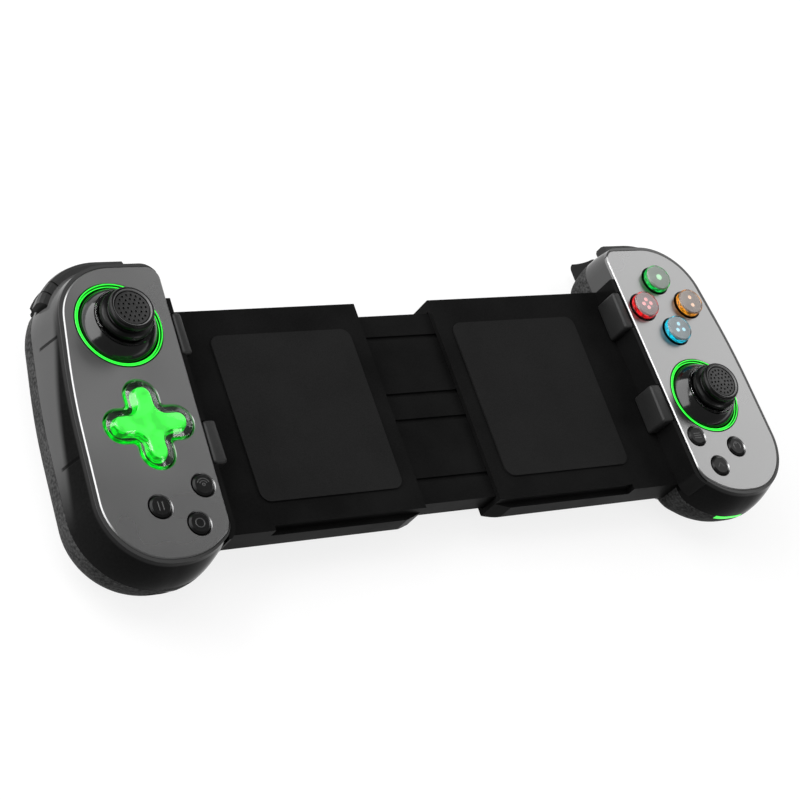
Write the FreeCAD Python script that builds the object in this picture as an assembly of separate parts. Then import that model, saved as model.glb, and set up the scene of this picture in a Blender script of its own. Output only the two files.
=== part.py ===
import FreeCAD, Part
import math
import os

V = FreeCAD.Vector

# Sizes in millimetres. X runs along the bridge, Y towards the shoulder buttons, Z out of the faceplates.
# The controller lies on the backs of its two handles, and the handle sizes are those of the right one.

# Held device between the jaws, at the photographed extension
DEVICE_LENGTH = 146.7
DEVICE_THICKNESS = 7.6
DEVICE_RECESS = 1.5

# Heights above the rest face
FACE = 27.0
PLATE_THICKNESS = 1.2
SEAM_DEPTH = 11.5
BOARD_DEPTH = 12.5
BOARD_THICKNESS = 1.2

# Plan of a handle
JAW_ROOM = 2.75
HANDLE_X = DEVICE_LENGTH / 2 + JAW_ROOM
HANDLE_TOP = 39.1
HANDLE_LENGTH = 82.0
HANDLE_FOOT = HANDLE_TOP - HANDLE_LENGTH
SHOULDER_WIDTH = 28.6
WAIST_WIDTH = 34.5
FOOT_WIDTH = 37.0
WAIST_DROP = 35.8
INNER_LEAN = 2.6
TOE_RISE = 6.3
SOLE_REACH = 11.7
SHOULDER_RADIUS = 17.0
FOOT_RADIUS = 16.0
WAIST_RADIUS = 200.0
SOLE_RADIUS = 20.0
TOE_RADIUS = 6.0
INNER_TOP_RADIUS = 3.8

# How far the casing swells past the faceplate's outline
RIM = 0.9
RIM_DEPTH = 0.3
SIDE_BULGE = 4.2
SIDE_BULGE_DEPTH = 14.5
FOOT_BULGE = 3.2
FOOT_BULGE_DEPTH = 12.0
SIDE_BACK_ROUND = 24.0
SIDE_BACK_REACH = 14.0
FOOT_BACK_ROUND = 20.9
FOOT_BACK_REACH = 16.5
INNER_TUCK = 8.0
INNER_TUCK_DEPTH = 19.0
BACK_EDGE = 2.4
SHELL_WALL = 1.9
POCKET_WALL = 1.5
GRIP_WALL = 2.2
LEDGE_WIDTH = 1.6
LEDGE_THICKNESS = 0.85
SEAM_GAP = 0.15
FIT = 0.1

# Places on a handle, out from its inner side and down from its top
LEFT_STICK = (16.2, 17.0)
RIGHT_STICK = (16.2, 50.5)
DPAD = (16.4, 45.5)
FACE_BUTTONS = (15.3, 19.9)
FACE_BUTTON_PITCH = 8.8
SMALL_BUTTONS = {"upper": (6.8, 63.4), "outer": (20.3, 68.0), "lower": (11.1, 73.5)}
SCREWS = [(4.7, 31.6), (29.1, 31.1), (28.1, 70.6), (5.5, 70.5)]

# Stick
STICK_PIVOT_DEPTH = 4.5
RING_OUTER = 12.0
RING_LIP = 11.68
RING_CHANNEL = 11.55
RING_BEAD = 11.1
RING_INNER = 11.4
RING_FLANGE = 0.7
RING_FLANGE_THICKNESS = 0.6
DOME_RADIUS = 11.5
DOME_WALL = 1.1
COLLAR_HEIGHT = 8.0
COLLAR_THICKNESS = 0.6
COLLAR_OUTER = 8.1
COLLAR_INNER = 7.5
STICK_BODY_RADIUS = 7.2
STICK_WAIST_RADIUS = 5.6
STICK_CAP_RADIUS = 6.2
STICK_DISC_RADIUS = 4.85
STICK_DISC_HEIGHT = 8.6
STICK_CLICK = 0.5
SHAFT_RADIUS = 2.0
HUB_RADIUS = 3.4
GIMBAL_INNER = 4.2
GIMBAL_OUTER = 6.4
GIMBAL_HALF_HEIGHT = 1.1
AXLE_RADIUS = 0.9
STICK_CASE = 16.0
STICK_CASE_HEIGHT = 2.2
STICK_TOWER_RADIUS = 5.8
STICK_TOWER_DROP = 4.0
GIMBAL_SIDE_GAP = 0.45
EAR_THICKNESS = 1.2
EAR_RADIUS = 1.5
RUNNING = 0.05

# Buttons
FACE_BUTTON_RADIUS = 4.25
FACE_BUTTON_HEIGHT = 2.5
FACE_BUTTON_TRAVEL = 1.0
SMALL_BUTTON_RADIUS = 2.9
SMALL_BUTTON_HEIGHT = 0.4
SMALL_BUTTON_TRAVEL = 0.7
BUTTON_GAP = 0.25
FLANGE = 0.5
FLANGE_CLEARANCE = 0.3
STEM_RADIUS = 1.5
MAT_THICKNESS = 0.6
DOME_SWITCH_HEIGHT = 1.5

# Direction pad
DPAD_REACH = 12.1
DPAD_ARM = 4.35
DPAD_NOTCH_RADIUS = 1.8
DPAD_HEIGHT = 1.6
DPAD_BEVEL_WIDTH = 2.1
DPAD_BEVEL_DEPTH = 1.3
DPAD_GAP = 0.45
DPAD_PIVOT_DEPTH = 4.0
DPAD_FLANGE_DEPTH = 2.3

# Shoulder bumper and trigger
BUMPER_PROUD = 5.3
BUMPER_TOP_DEPTH = 5.2
BUMPER_BOTTOM_DEPTH = 9.9
BUMPER_END_ANGLE = 29.0
BUMPER_GROOVES = (49.5, 39.0)
BUMPER_GROOVE = 0.5
SHOULDER_START = 5.9
TRIGGER_TOP_REACH = 4.4
TRIGGER_TOE_REACH = 8.0
TRIGGER_NOSE = 1.0
TRIGGER_TOE = 1.5
TRIGGER_DISH = 0.35
TRIGGER_TOP_DEPTH = 11.8
TRIGGER_BOTTOM_DEPTH = 23.0
TRIGGER_PIVOT_DEPTH = 14.0
TRIGGER_PIVOT_INSET = 2.2
TRIGGER_END_ANGLE = 36.0
TRIGGER_END_ROOM = 7.0
BUMPER_END_ROOM = 2.6
NOTCH_INSET = 5.5
NOTCH_BOTTOM_DEPTH = 24.5
PIN_RADIUS = 1.0
BUMPER_TRAVEL_GAP = 2.0
BUMPER_TRAVEL = 1.2
TRIGGER_WRAP_INNER = 1.2
TRIGGER_WRAP_GAP = 3.0

# Faceplate, screws and small hardware
PLATE_RIM_CHAMFER = 0.3
BOSS_RADIUS = 2.3
POST_RADIUS = 2.8
SCREW_RADIUS = 1.0
SCREW_HEAD_RADIUS = 1.9
SCREW_SEAT = 4.6
SCREW_TIP = FACE - 6.0
STUB_RADIUS = 0.8
BATTERY_X = 8.5
BATTERY_RISE = 15.9
BATTERY_WIDTH = 17.5
BATTERY_LENGTH = 40.0
BATTERY_THICKNESS = 6.0
PORT_X = 18.5
PORT_FACE_DEPTH = 15.4
PORT_WIDTH = 9.0
PORT_HEIGHT = 3.2
PORT_WALL = 0.3
PORT_LENGTH = 7.2
PORT_DEPTH = 2.5
LIGHT_BAR_START = 13.2
LIGHT_BAR_LENGTH = 10.2
LIGHT_BAR_HEIGHT = 1.7
LIGHT_BAR_SEAT = 1.9

# Sliding bridge
REST_GAP = 25.2
SLEEVE_DROP = 9.1
SLEEVE_WIDTH = 65.0
SLEEVE_TOP = HANDLE_TOP - SLEEVE_DROP
SLEEVE_FOOT = SLEEVE_TOP - SLEEVE_WIDTH
SLEEVE_RIB = 1.6
SLEEVE_THICKNESS = 10.8
SLEEVE_WALL = 1.5
SLEEVE_SIDE = 3.0
TONGUE_LENGTH = 89.4
TONGUE_GROOVES = (-22.0, -4.0, 4.0, 22.0)
GROOVE_WIDTH = 1.2
GROOVE_DEPTH = 0.7
SLIDE_GAP = 0.3
SPRING_RADIUS = 2.0
SPRING_WIRE = 0.5
SPRING_OFFSET = 12.0
SPRING_START = 4.2
PEG_INSET = 32.0
PEG_SLOT = 17.0
JAW_THICKNESS = 1.4
JAW_SINK = 0.6
SLEEVE_STEP = 3.2
SLEEVE_SHOULDER = 15.5
SLEEVE_ROOT = 6.0
SLEEVE_EDGE = 2.0
PAD_THICKNESS = 0.5
PAD_MARGIN = 8.0
PAD_INNER_MARGIN = 5.0
PAD_OUTER_MARGIN = 14.0
JAW_CURL = 3.9
PAD_LENGTH = 12.2
PAD_DROPS = (20.1, 51.5)
PAD_PROUD = 0.3
PAD_GAP = 0.05
PAD_BITE = 0.5
JAW_TOP_DROP = 9.5
JAW_FOOT_RISE = 3.6

BOARD_TOP = FACE - BOARD_DEPTH
DEVICE_BACK = FACE - DEVICE_RECESS - DEVICE_THICKNESS


def rounded_outline(corners, z):
    """Closed wire of straight sides joined by tangent arcs; a corner is x, y, radius."""
    arcs = []
    count = len(corners)
    for i, (x, y, radius) in enumerate(corners):
        here = V(x, y, z)
        back = (V(corners[i - 1][0], corners[i - 1][1], z) - here).normalize()
        onward = corners[(i + 1) % count]
        ahead = (V(onward[0], onward[1], z) - here).normalize()
        half = back.getAngle(ahead) / 2
        middle = (back + ahead).normalize()
        reach = radius / math.tan(half)
        apex = here + middle * (radius / math.sin(half) - radius)
        arcs.append((here + back * reach, apex, here + ahead * reach))
    edges = []
    for i, (start, apex, end) in enumerate(arcs):
        edges.append(Part.Arc(start, apex, end).toShape())
        edges.append(Part.makeLine(end, arcs[(i + 1) % count][0]))
    return Part.Wire(edges)


def spot(place):
    """X and Y of a place on the handle."""
    return HANDLE_X + place[0], HANDLE_TOP - place[1]


def handle_corners(out=0.0, foot=0.0, top=0.0, inner=0.0):
    """Corners of the handle's plan, each side moved outwards by its own amount."""
    inner_x = HANDLE_X - inner
    sole_y = HANDLE_FOOT - foot
    return [
        (inner_x, HANDLE_TOP + top, max(INNER_TOP_RADIUS + top, 1.5)),
        (inner_x + INNER_LEAN, HANDLE_FOOT + TOE_RISE - 0.7 * foot, TOE_RADIUS),
        (HANDLE_X + SOLE_REACH - 0.3 * foot - 0.7 * inner, sole_y,
         max(SOLE_RADIUS + 2 * min(foot, 0.0), 4.0)),
        (HANDLE_X + FOOT_WIDTH + out, sole_y, max(FOOT_RADIUS + 0.55 * (out + foot), 2.5)),
        (HANDLE_X + WAIST_WIDTH + out, HANDLE_TOP - WAIST_DROP, WAIST_RADIUS),
        (HANDLE_X + SHOULDER_WIDTH + out, HANDLE_TOP + top, SHOULDER_RADIUS + (out + top) / 2),
    ]


def swell(depth, bulge, bulge_depth, back_round, back_reach):
    """How far the casing stands past the faceplate's outline at a depth below its face."""
    if depth <= bulge_depth:
        return RIM + (bulge - RIM) * math.sin(math.pi / 2 * depth / bulge_depth)
    turn = (depth - bulge_depth) / back_reach
    return bulge - back_round * (1 - math.sqrt(1 - turn * turn))


def casing_section(depth, wall=0.0):
    """Plan wire of the casing at a depth, drawn in by a wall."""
    side = swell(depth, SIDE_BULGE, SIDE_BULGE_DEPTH, SIDE_BACK_ROUND, SIDE_BACK_REACH)
    end = swell(depth, FOOT_BULGE, FOOT_BULGE_DEPTH, FOOT_BACK_ROUND, FOOT_BACK_REACH)
    tuck = max(depth - INNER_TUCK_DEPTH, 0.0) / (FACE - INNER_TUCK_DEPTH)
    inner = -INNER_TUCK * tuck * tuck
    corners = handle_corners(side - wall, end - wall, end - wall, inner - wall)
    return rounded_outline(corners, FACE - depth)


def casing_loft(depths, wall=0.0):
    return Part.makeLoft([casing_section(depth, wall) for depth in depths], True, False)


def shell_depths():
    """Depths of the front shell's sections, from its clear rim down to the seam."""
    return [RIM_DEPTH, SEAM_DEPTH / 3, 2 * SEAM_DEPTH / 3, SEAM_DEPTH]


def grip_depths(first, last):
    """Depths of the grip's sections, close together where its back rounds over."""
    fall = FACE - SIDE_BULGE_DEPTH
    return [first] + [SIDE_BULGE_DEPTH + fall * step for step in (0.0, 0.28, 0.56)] + last


def handle_prism(spread, top_depth, bottom_depth):
    """Upright prism of the faceplate's outline, every side moved out by one amount."""
    wire = rounded_outline(handle_corners(spread, spread, spread, spread), FACE - bottom_depth)
    return Part.Face(wire).extrude(V(0, 0, bottom_depth - top_depth))


def box(x0, x1, y0, y1, z0, z1):
    return Part.makeBox(x1 - x0, y1 - y0, z1 - z0, V(x0, y0, z0))


def disc(x, y, radius, z0, z1):
    return Part.makeCylinder(radius, z1 - z0, V(x, y, z0))


def rod_x(radius, x0, x1, y, z):
    return Part.makeCylinder(radius, x1 - x0, V(x0, y, z), V(1, 0, 0))


def rod_y(radius, y0, y1, x, z):
    return Part.makeCylinder(radius, y1 - y0, V(x, y0, z), V(0, 1, 0))


def turned(points, x, y, z):
    """Solid turned about a vertical axis from radius, height points."""
    line = [V(x + radius, y, z + height) for radius, height in points]
    face = Part.Face(Part.makePolygon(line + [line[0]]))
    return face.revolve(V(x, y, z), V(0, 0, 1), 360)


def fused(shapes):
    shapes = list(shapes)
    return shapes[0].fuse(shapes[1:]).removeSplitter() if len(shapes) > 1 else shapes[0]


def level_edges(shape, z):
    """Edges that lie wholly at one height."""
    return [edge for edge in shape.Edges
            if abs(edge.BoundBox.ZMin - z) < 1e-4 and abs(edge.BoundBox.ZMax - z) < 1e-4]


def shoulder_centre():
    """Centre of the arc that rounds the handle's outer top corner."""
    corners = handle_corners()
    corner, before, after = corners[5], corners[4], corners[0]
    here = V(corner[0], corner[1], 0)
    back = (V(before[0], before[1], 0) - here).normalize()
    ahead = (V(after[0], after[1], 0) - here).normalize()
    half = back.getAngle(ahead) / 2
    return here + (back + ahead).normalize() * (corner[2] / math.sin(half))


def along_shoulder(points, start_x, end_angle):
    """Run a section, as spread past the outline and depth, along the top edge and round its corner."""
    centre = shoulder_centre()
    line = [V(centre.x, centre.y + SHOULDER_RADIUS + spread, FACE - depth) for spread, depth in points]
    face = Part.Face(Part.makePolygon(line + [line[0]]))
    straight = face.extrude(V(start_x - centre.x, 0, 0))
    bend = face.revolve(V(centre.x, centre.y, 0), V(0, 0, 1), end_angle - 90)
    return straight.fuse(bend).removeSplitter()


def cross_outline(spread, z):
    """Plan of the direction pad's cross with round arm ends, moved out by a spread."""
    x, y = spot(DPAD)
    arm = DPAD_ARM + spread
    notch = arm + max(DPAD_NOTCH_RADIUS - spread, 0.4)
    reach = DPAD_REACH + spread - arm
    edges = []
    for quarter in range(4):
        turn = FreeCAD.Rotation(V(0, 0, 1), 90 * quarter)
        place = FreeCAD.Placement(V(x, y, z), turn)
        lean = (notch - arm) * (1 - math.sqrt(0.5))
        points = [V(reach, -arm, 0), V(reach + arm, 0, 0), V(reach, arm, 0), V(notch, arm, 0),
                  V(arm + lean, arm + lean, 0), V(arm, notch, 0), V(arm, reach, 0)]
        points = [place.multVec(point) for point in points]
        edges.append(Part.Arc(*points[0:3]).toShape())
        edges.append(Part.makeLine(points[2], points[3]))
        edges.append(Part.Arc(*points[3:6]).toShape())
        edges.append(Part.makeLine(points[5], points[6]))
    return Part.Wire(edges)


def cross_prism(spread, z0, z1):
    return Part.Face(cross_outline(spread, z0)).extrude(V(0, 0, z1 - z0))


def screw_posts(radius, z0, z1):
    return [disc(*spot(place), radius, z0, z1) for place in SCREWS]


def control_places(side):
    """Stick place and face buttons by name, for one handle."""
    x, y = spot(FACE_BUTTONS)
    pitch = FACE_BUTTON_PITCH
    face = {"top": (x, y + pitch), "left": (x - pitch, y), "right": (x + pitch, y), "bottom": (x, y - pitch)}
    return (spot(LEFT_STICK), {}) if side == "left" else (spot(RIGHT_STICK), face)


def plate_openings(side, spread, z0, z1):
    """Every hole in the faceplate, grown by a spread."""
    stick, face = control_places(side)
    holes = [disc(*stick, RING_OUTER + FIT / 2 + spread, z0, z1)]
    holes += [disc(*place, FACE_BUTTON_RADIUS + BUTTON_GAP + spread, z0, z1) for place in face.values()]
    holes += [disc(*spot(place), SMALL_BUTTON_RADIUS + BUTTON_GAP + spread, z0, z1)
              for place in SMALL_BUTTONS.values()]
    if side == "left":
        holes.append(cross_prism(DPAD_GAP + spread, z0, z1))
    return holes


def button_room(side, z0, z1):
    """Space under the faceplate that the button flanges need."""
    spread = FLANGE + FLANGE_CLEARANCE
    room = [disc(*spot(place), SMALL_BUTTON_RADIUS + spread, z0, z1) for place in SMALL_BUTTONS.values()]
    room += [disc(*place, FACE_BUTTON_RADIUS + spread, z0, z1) for place in control_places(side)[1].values()]
    if side == "left":
        room.append(cross_prism(DPAD_GAP + spread, z0, z1))
    return room


def faceplate(side):
    """Plate with chamfered rims and the bosses that the case screws bite into."""
    plate = handle_prism(0.0, 0.0, PLATE_THICKNESS)
    plate = plate.cut(plate_openings(side, 0.0, FACE - PLATE_THICKNESS - 1, FACE + 1))
    plate = plate.makeChamfer(PLATE_RIM_CHAMFER, level_edges(plate, FACE))
    bosses = screw_posts(BOSS_RADIUS, BOARD_TOP + FIT, FACE - PLATE_THICKNESS)
    bores = screw_posts(SCREW_RADIUS, BOARD_TOP, SCREW_TIP + FIT)
    return plate.fuse(bosses).removeSplitter().cut(bores)


def shoulder_block(spread, end_angle, wall, bottom_depth):
    """Space past the outline, along the top and round the shoulder, that the casing's hollow keeps out of."""
    low = shoulder_centre().y + SHOULDER_RADIUS * math.sin(math.radians(end_angle)) - 2 * wall
    space = box(0, 2 * HANDLE_X, low, 2 * HANDLE_TOP, FACE - bottom_depth, FACE)
    wire = rounded_outline(handle_corners(spread, spread, spread), -1)
    return space.cut(Part.Face(wire).extrude(V(0, 0, FACE + 2)))


def shell(side):
    """Glossy front shell: a ledge under the faceplate, a bumper pocket and the shelf below it."""
    body = casing_loft(shell_depths())
    body = body.cut(handle_prism(FIT, -1.0, PLATE_THICKNESS + SEAM_GAP / 3))
    hollow = casing_loft([PLATE_THICKNESS + LEDGE_THICKNESS, 2 * SEAM_DEPTH / 3, SEAM_DEPTH + 0.5],
                         SHELL_WALL)
    hollow = hollow.cut(shoulder_block(-BUMPER_TRAVEL_GAP - POCKET_WALL, BUMPER_END_ANGLE, POCKET_WALL,
                                       SEAM_DEPTH + 1))
    body = body.cut([hollow, handle_prism(-LEDGE_WIDTH, 0.0, PLATE_THICKNESS + LEDGE_THICKNESS + 0.1)])
    inner, outer = -BUMPER_TRAVEL_GAP, 2 * BUMPER_PROUD
    top, bottom = BUMPER_TOP_DEPTH - SLIDE_GAP, BUMPER_BOTTOM_DEPTH + SLIDE_GAP
    pocket = along_shoulder([(inner, top), (outer, top), (outer, bottom), (inner, bottom)],
                            HANDLE_X + SHOULDER_START, BUMPER_END_ANGLE - BUMPER_END_ROOM)
    pin_x, pin_y = bumper_pivot()
    bore = disc(pin_x, pin_y, PIN_RADIUS + FIT / 5, FACE - SEAM_DEPTH - 1, FACE - BUMPER_TOP_DEPTH + 0.6)
    room = button_room(side, FACE - SEAM_DEPTH, FACE - PLATE_THICKNESS)
    room.append(disc(*control_places(side)[0], DOME_RADIUS + SLIDE_GAP, FACE - SEAM_DEPTH, FACE))
    return body.cut([pocket, bore] + room + screw_posts(BOSS_RADIUS + FIT, 0, FACE))


def bumper_pivot():
    """Place of the bumper's upright pin, at its inner end."""
    return HANDLE_X + SHOULDER_START + 2.6, HANDLE_TOP + 1.2


def bumper():
    """Shoulder bumper, a bar that follows the top edge and rounds its corner."""
    top, bottom = BUMPER_TOP_DEPTH, BUMPER_BOTTOM_DEPTH
    inner = -BUMPER_TRAVEL_GAP + BUMPER_TRAVEL + FIT
    nose = [
        (inner, top), (BUMPER_PROUD - 1.4, top), (BUMPER_PROUD - 0.4, top + 0.5), (BUMPER_PROUD, top + 1.6),
        (BUMPER_PROUD, bottom - 0.6), (BUMPER_PROUD - 0.6, bottom), (inner, bottom),
    ]
    bar = along_shoulder(nose, HANDLE_X + SHOULDER_START + 0.5, BUMPER_END_ANGLE)
    pin_x, pin_y = bumper_pivot()
    return bar.cut([disc(pin_x, pin_y, PIN_RADIUS + RUNNING, 0, FACE)] + bumper_grooves())


def bumper_grooves():
    """Two grooves across the bumper's top and outer face, near its far end."""
    centre = shoulder_centre()
    shell_radius = SHOULDER_RADIUS + BUMPER_PROUD - BUMPER_GROOVE
    top = FACE - BUMPER_TOP_DEPTH - BUMPER_GROOVE
    grooves = []
    for angle in BUMPER_GROOVES:
        cut = box(0, 2 * SHOULDER_RADIUS, -BUMPER_GROOVE / 2, BUMPER_GROOVE / 2, 0, FACE)
        cut = cut.cut(disc(0, 0, shell_radius, -1, top))
        cut.Placement = FreeCAD.Placement(centre, FreeCAD.Rotation(V(0, 0, 1), angle))
        grooves.append(cut)
    return grooves


def trigger_section(angle, top_reach, toe_reach, top, bottom, lean):
    """Blade section at an angle round the corner: leaning top, dished finger face and round toe."""
    centre = shoulder_centre()
    way = V(math.cos(math.radians(angle)), math.sin(math.radians(angle)), 0)

    def place(spread, depth):
        return V(centre.x, centre.y, FACE - depth) + way * (SHOULDER_RADIUS + spread)

    inner, nose, toe = TRIGGER_WRAP_INNER, TRIGGER_NOSE, TRIGGER_TOE
    middle = place((top_reach + toe_reach) / 2 - TRIGGER_DISH, (top + bottom + nose - toe) / 2)
    crown, start = place(top_reach - nose, top), place(top_reach, top + nose)
    end, tip = place(toe_reach, bottom - toe), place(toe_reach - toe, bottom)
    return Part.Wire([
        Part.makeLine(place(inner, top + lean), crown),
        Part.Arc(crown, place(top_reach - 0.3 * nose, top + 0.3 * nose), start).toShape(),
        Part.Arc(start, middle, end).toShape(),
        Part.Arc(end, place(toe_reach - 0.3 * toe, bottom - 0.3 * toe), tip).toShape(),
        Part.makeLine(tip, place(inner, bottom)),
        Part.makeLine(place(inner, bottom), place(inner, top + lean)),
    ])


def trigger():
    """Trigger with a hub on its pin, a flared finger face and a blade that tapers round the corner."""
    centre = shoulder_centre()
    start = HANDLE_X + SHOULDER_START + 0.5
    inner = TRIGGER_WRAP_INNER
    first = trigger_section(90, TRIGGER_TOP_REACH, TRIGGER_TOE_REACH, TRIGGER_TOP_DEPTH,
                            TRIGGER_BOTTOM_DEPTH, 0.0)
    blade = Part.makeLoft([
        first,
        trigger_section(76, TRIGGER_TOP_REACH + 0.3, TRIGGER_TOE_REACH - 1.6, TRIGGER_TOP_DEPTH,
                        TRIGGER_BOTTOM_DEPTH - 1.0, 0.0),
        trigger_section(60, TRIGGER_TOP_REACH + 0.9, TRIGGER_TOE_REACH - 4.0, TRIGGER_TOP_DEPTH + 0.1,
                        TRIGGER_BOTTOM_DEPTH - 3.2, 0.3),
        trigger_section(TRIGGER_END_ANGLE, TRIGGER_TOP_REACH + 0.9, TRIGGER_TOE_REACH - 3.6,
                        TRIGGER_TOP_DEPTH + 0.5, TRIGGER_BOTTOM_DEPTH - 6.6, 1.1),
    ], True, False)
    straight = Part.Face(first).extrude(V(start - centre.x, 0, 0))
    y, z = pivot_line()
    hub_radius = TRIGGER_PIVOT_DEPTH - TRIGGER_TOP_DEPTH
    hub = rod_x(hub_radius, start, centre.x, y, z)
    web = Part.Face(Part.makePolygon([
        V(start, y, z + hub_radius), V(start, HANDLE_TOP + inner, z + hub_radius),
        V(start, HANDLE_TOP + inner, FACE - TRIGGER_BOTTOM_DEPTH),
        V(start, HANDLE_TOP - 1.4, FACE - TRIGGER_BOTTOM_DEPTH),
        V(start, y - 0.87 * hub_radius, z - 0.5 * hub_radius), V(start, y, z), V(start, y, z + hub_radius),
    ])).extrude(V(centre.x - start, 0, 0))
    body = fused([straight, hub, web, blade])
    bore = rod_x(PIN_RADIUS + RUNNING, start - 1, centre.x + SHOULDER_RADIUS, y, z)
    x0, x1 = lug_span()
    slot = box(x0 - SLIDE_GAP, x1 + SLIDE_GAP, y - 6, y + PIN_RADIUS + 1.4 + SLIDE_GAP, z - 12, z + 6)
    return body.cut([bore, slot])


def pivot_line():
    """Y and Z of the trigger's pin."""
    return HANDLE_TOP - TRIGGER_PIVOT_INSET, FACE - TRIGGER_PIVOT_DEPTH


def lug_span():
    """X range of the lug that holds the outer end of the trigger's pin."""
    centre = shoulder_centre()
    return centre.x - 2.0, centre.x


def trigger_notch():
    """Space for the trigger: behind the straight run and round the corner."""
    centre = shoulder_centre()
    run = box(HANDLE_X + SHOULDER_START, centre.x + 0.5, HANDLE_TOP - NOTCH_INSET, 2 * HANDLE_TOP,
              FACE - NOTCH_BOTTOM_DEPTH, FACE - SEAM_DEPTH + 1)
    inner = TRIGGER_WRAP_INNER - TRIGGER_WRAP_GAP
    bend = along_shoulder([(inner, SEAM_DEPTH - 1), (20.0, SEAM_DEPTH - 1), (20.0, NOTCH_BOTTOM_DEPTH),
                           (inner, NOTCH_BOTTOM_DEPTH)], centre.x - 0.5, TRIGGER_END_ANGLE - TRIGGER_END_ROOM)
    return run.fuse(bend)


def grip_casing():
    """Outer form of the grip, from the seam to the flat it rests on."""
    return casing_loft(grip_depths(SEAM_DEPTH + SEAM_GAP, [FACE - BACK_EDGE, FACE]))


def grip(side):
    """Textured rear shell with screw posts, the trigger's notch and the lug for its pin."""
    casing = grip_casing()
    body = casing.copy()
    hollow = casing_loft(grip_depths(SEAM_DEPTH, [FACE - GRIP_WALL]), GRIP_WALL)
    hollow = hollow.cut(box(0, 2 * HANDLE_X, HANDLE_TOP - NOTCH_INSET - GRIP_WALL, 2 * HANDLE_TOP, 0, FACE))
    hollow = hollow.cut(shoulder_block(TRIGGER_WRAP_INNER - TRIGGER_WRAP_GAP - GRIP_WALL, TRIGGER_END_ANGLE,
                                       GRIP_WALL, FACE))
    body = body.cut([hollow, trigger_notch()])
    y, z = pivot_line()
    x0, x1 = lug_span()
    lug = box(x0, x1, HANDLE_TOP - NOTCH_INSET - 0.5, y, z - 1.9, z + 1.9)
    lug = lug.fuse(rod_x(1.9, x0, x1, y, z))
    posts = [post.common(casing) for post in screw_posts(POST_RADIUS, 0, BOARD_TOP - BOARD_THICKNESS)]
    body = body.fuse(posts + [lug]).removeSplitter()
    bores = screw_posts(SCREW_RADIUS + FIT, -1, FACE)
    sinks = screw_posts(SCREW_HEAD_RADIUS + FIT, -1, SCREW_SEAT)
    sinks += screw_posts(BOSS_RADIUS + FIT, BOARD_TOP, FACE)
    pin = rod_x(PIN_RADIUS + FIT / 5, HANDLE_X + 1.2, x1 + 1, y, z)
    body = body.cut(bores + sinks + [pin])
    if side == "right":
        return body.cut(light_bar_space())
    return body.cut(port_outline(FIT, 2 * HANDLE_FOOT, HANDLE_FOOT + PORT_DEPTH))


def light_bar_space():
    """Curved notch in the grip's rim, round the lower outer corner, where the status light sits."""
    x0 = HANDLE_X + LIGHT_BAR_START
    top = FACE - SEAM_DEPTH
    block = box(x0, x0 + LIGHT_BAR_LENGTH, 2 * HANDLE_FOOT, HANDLE_FOOT + FOOT_RADIUS,
                top - LIGHT_BAR_HEIGHT, top)
    return block.cut(handle_prism(LIGHT_BAR_SEAT, 0, FACE))


def light_bar():
    return light_bar_space().common(grip_casing())


def port_outline(spread, y0, y1):
    """Flat-sided oval tube along Y for the charging port."""
    half, radius = PORT_WIDTH / 2 - PORT_HEIGHT / 2, PORT_HEIGHT / 2 + spread
    x, z = HANDLE_X + PORT_X, FACE - PORT_FACE_DEPTH
    middle = box(x - half, x + half, y0, y1, z - radius, z + radius)
    ends = [rod_y(radius, y0, y1, x - half, z), rod_y(radius, y0, y1, x + half, z)]
    return middle.fuse(ends).removeSplitter()


def charging_port():
    """Metal shell, its tongue and the foot that solders to the board."""
    mouth = HANDLE_FOOT - swell(PORT_FACE_DEPTH, FOOT_BULGE, FOOT_BULGE_DEPTH, FOOT_BACK_ROUND,
                                FOOT_BACK_REACH)
    front, rear = mouth + 0.8, mouth + 0.8 + PORT_LENGTH
    tube = port_outline(0.0, front, rear).cut(port_outline(-PORT_WALL, front - 1, rear - 1.2))
    x, z = HANDLE_X + PORT_X, FACE - PORT_FACE_DEPTH
    tongue = box(x - 3.3, x + 3.3, front + 0.8, rear - 1.0, z - 0.35, z + 0.35)
    foot = box(x - 4.0, x + 4.0, front + 3.2, rear, z, BOARD_TOP - BOARD_THICKNESS)
    foot = foot.cut(port_outline(-PORT_WALL, front - 1, rear - 1.2))
    return tube.fuse([tongue, foot]).removeSplitter()


def circuit_board(side):
    """Board with room for the screws and the trigger's notch."""
    corners = handle_corners(-4, -4, -NOTCH_INSET - GRIP_WALL - 1.0, -3)
    board = Part.Face(rounded_outline(corners, BOARD_TOP - BOARD_THICKNESS)).extrude(V(0, 0, BOARD_THICKNESS))
    return board.cut(screw_posts(SCREW_RADIUS + FIT, 0, FACE))


def stick_base(x, y):
    """Stick module: case on the board with a round tower and two ears for the gimbal's axles."""
    pivot = FACE - STICK_PIVOT_DEPTH
    half = STICK_CASE / 2
    case = box(x - half, x + half, y - half, y + half, BOARD_TOP, BOARD_TOP + STICK_CASE_HEIGHT)
    tower = disc(x, y, STICK_TOWER_RADIUS, BOARD_TOP, pivot - STICK_TOWER_DROP)
    ears = []
    for way in (-1, 1):
        gap = GIMBAL_OUTER + GIMBAL_SIDE_GAP
        near, far = sorted((x + way * gap, x + way * (gap + EAR_THICKNESS)))
        ears.append(box(near, far, y - EAR_RADIUS, y + EAR_RADIUS, BOARD_TOP, pivot))
        ears.append(rod_x(EAR_RADIUS, near, far, y, pivot))
    body = fused([case, tower] + ears)
    return body.cut(rod_x(AXLE_RADIUS + RUNNING, x - half - 1, x + half + 1, y, pivot))


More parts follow.
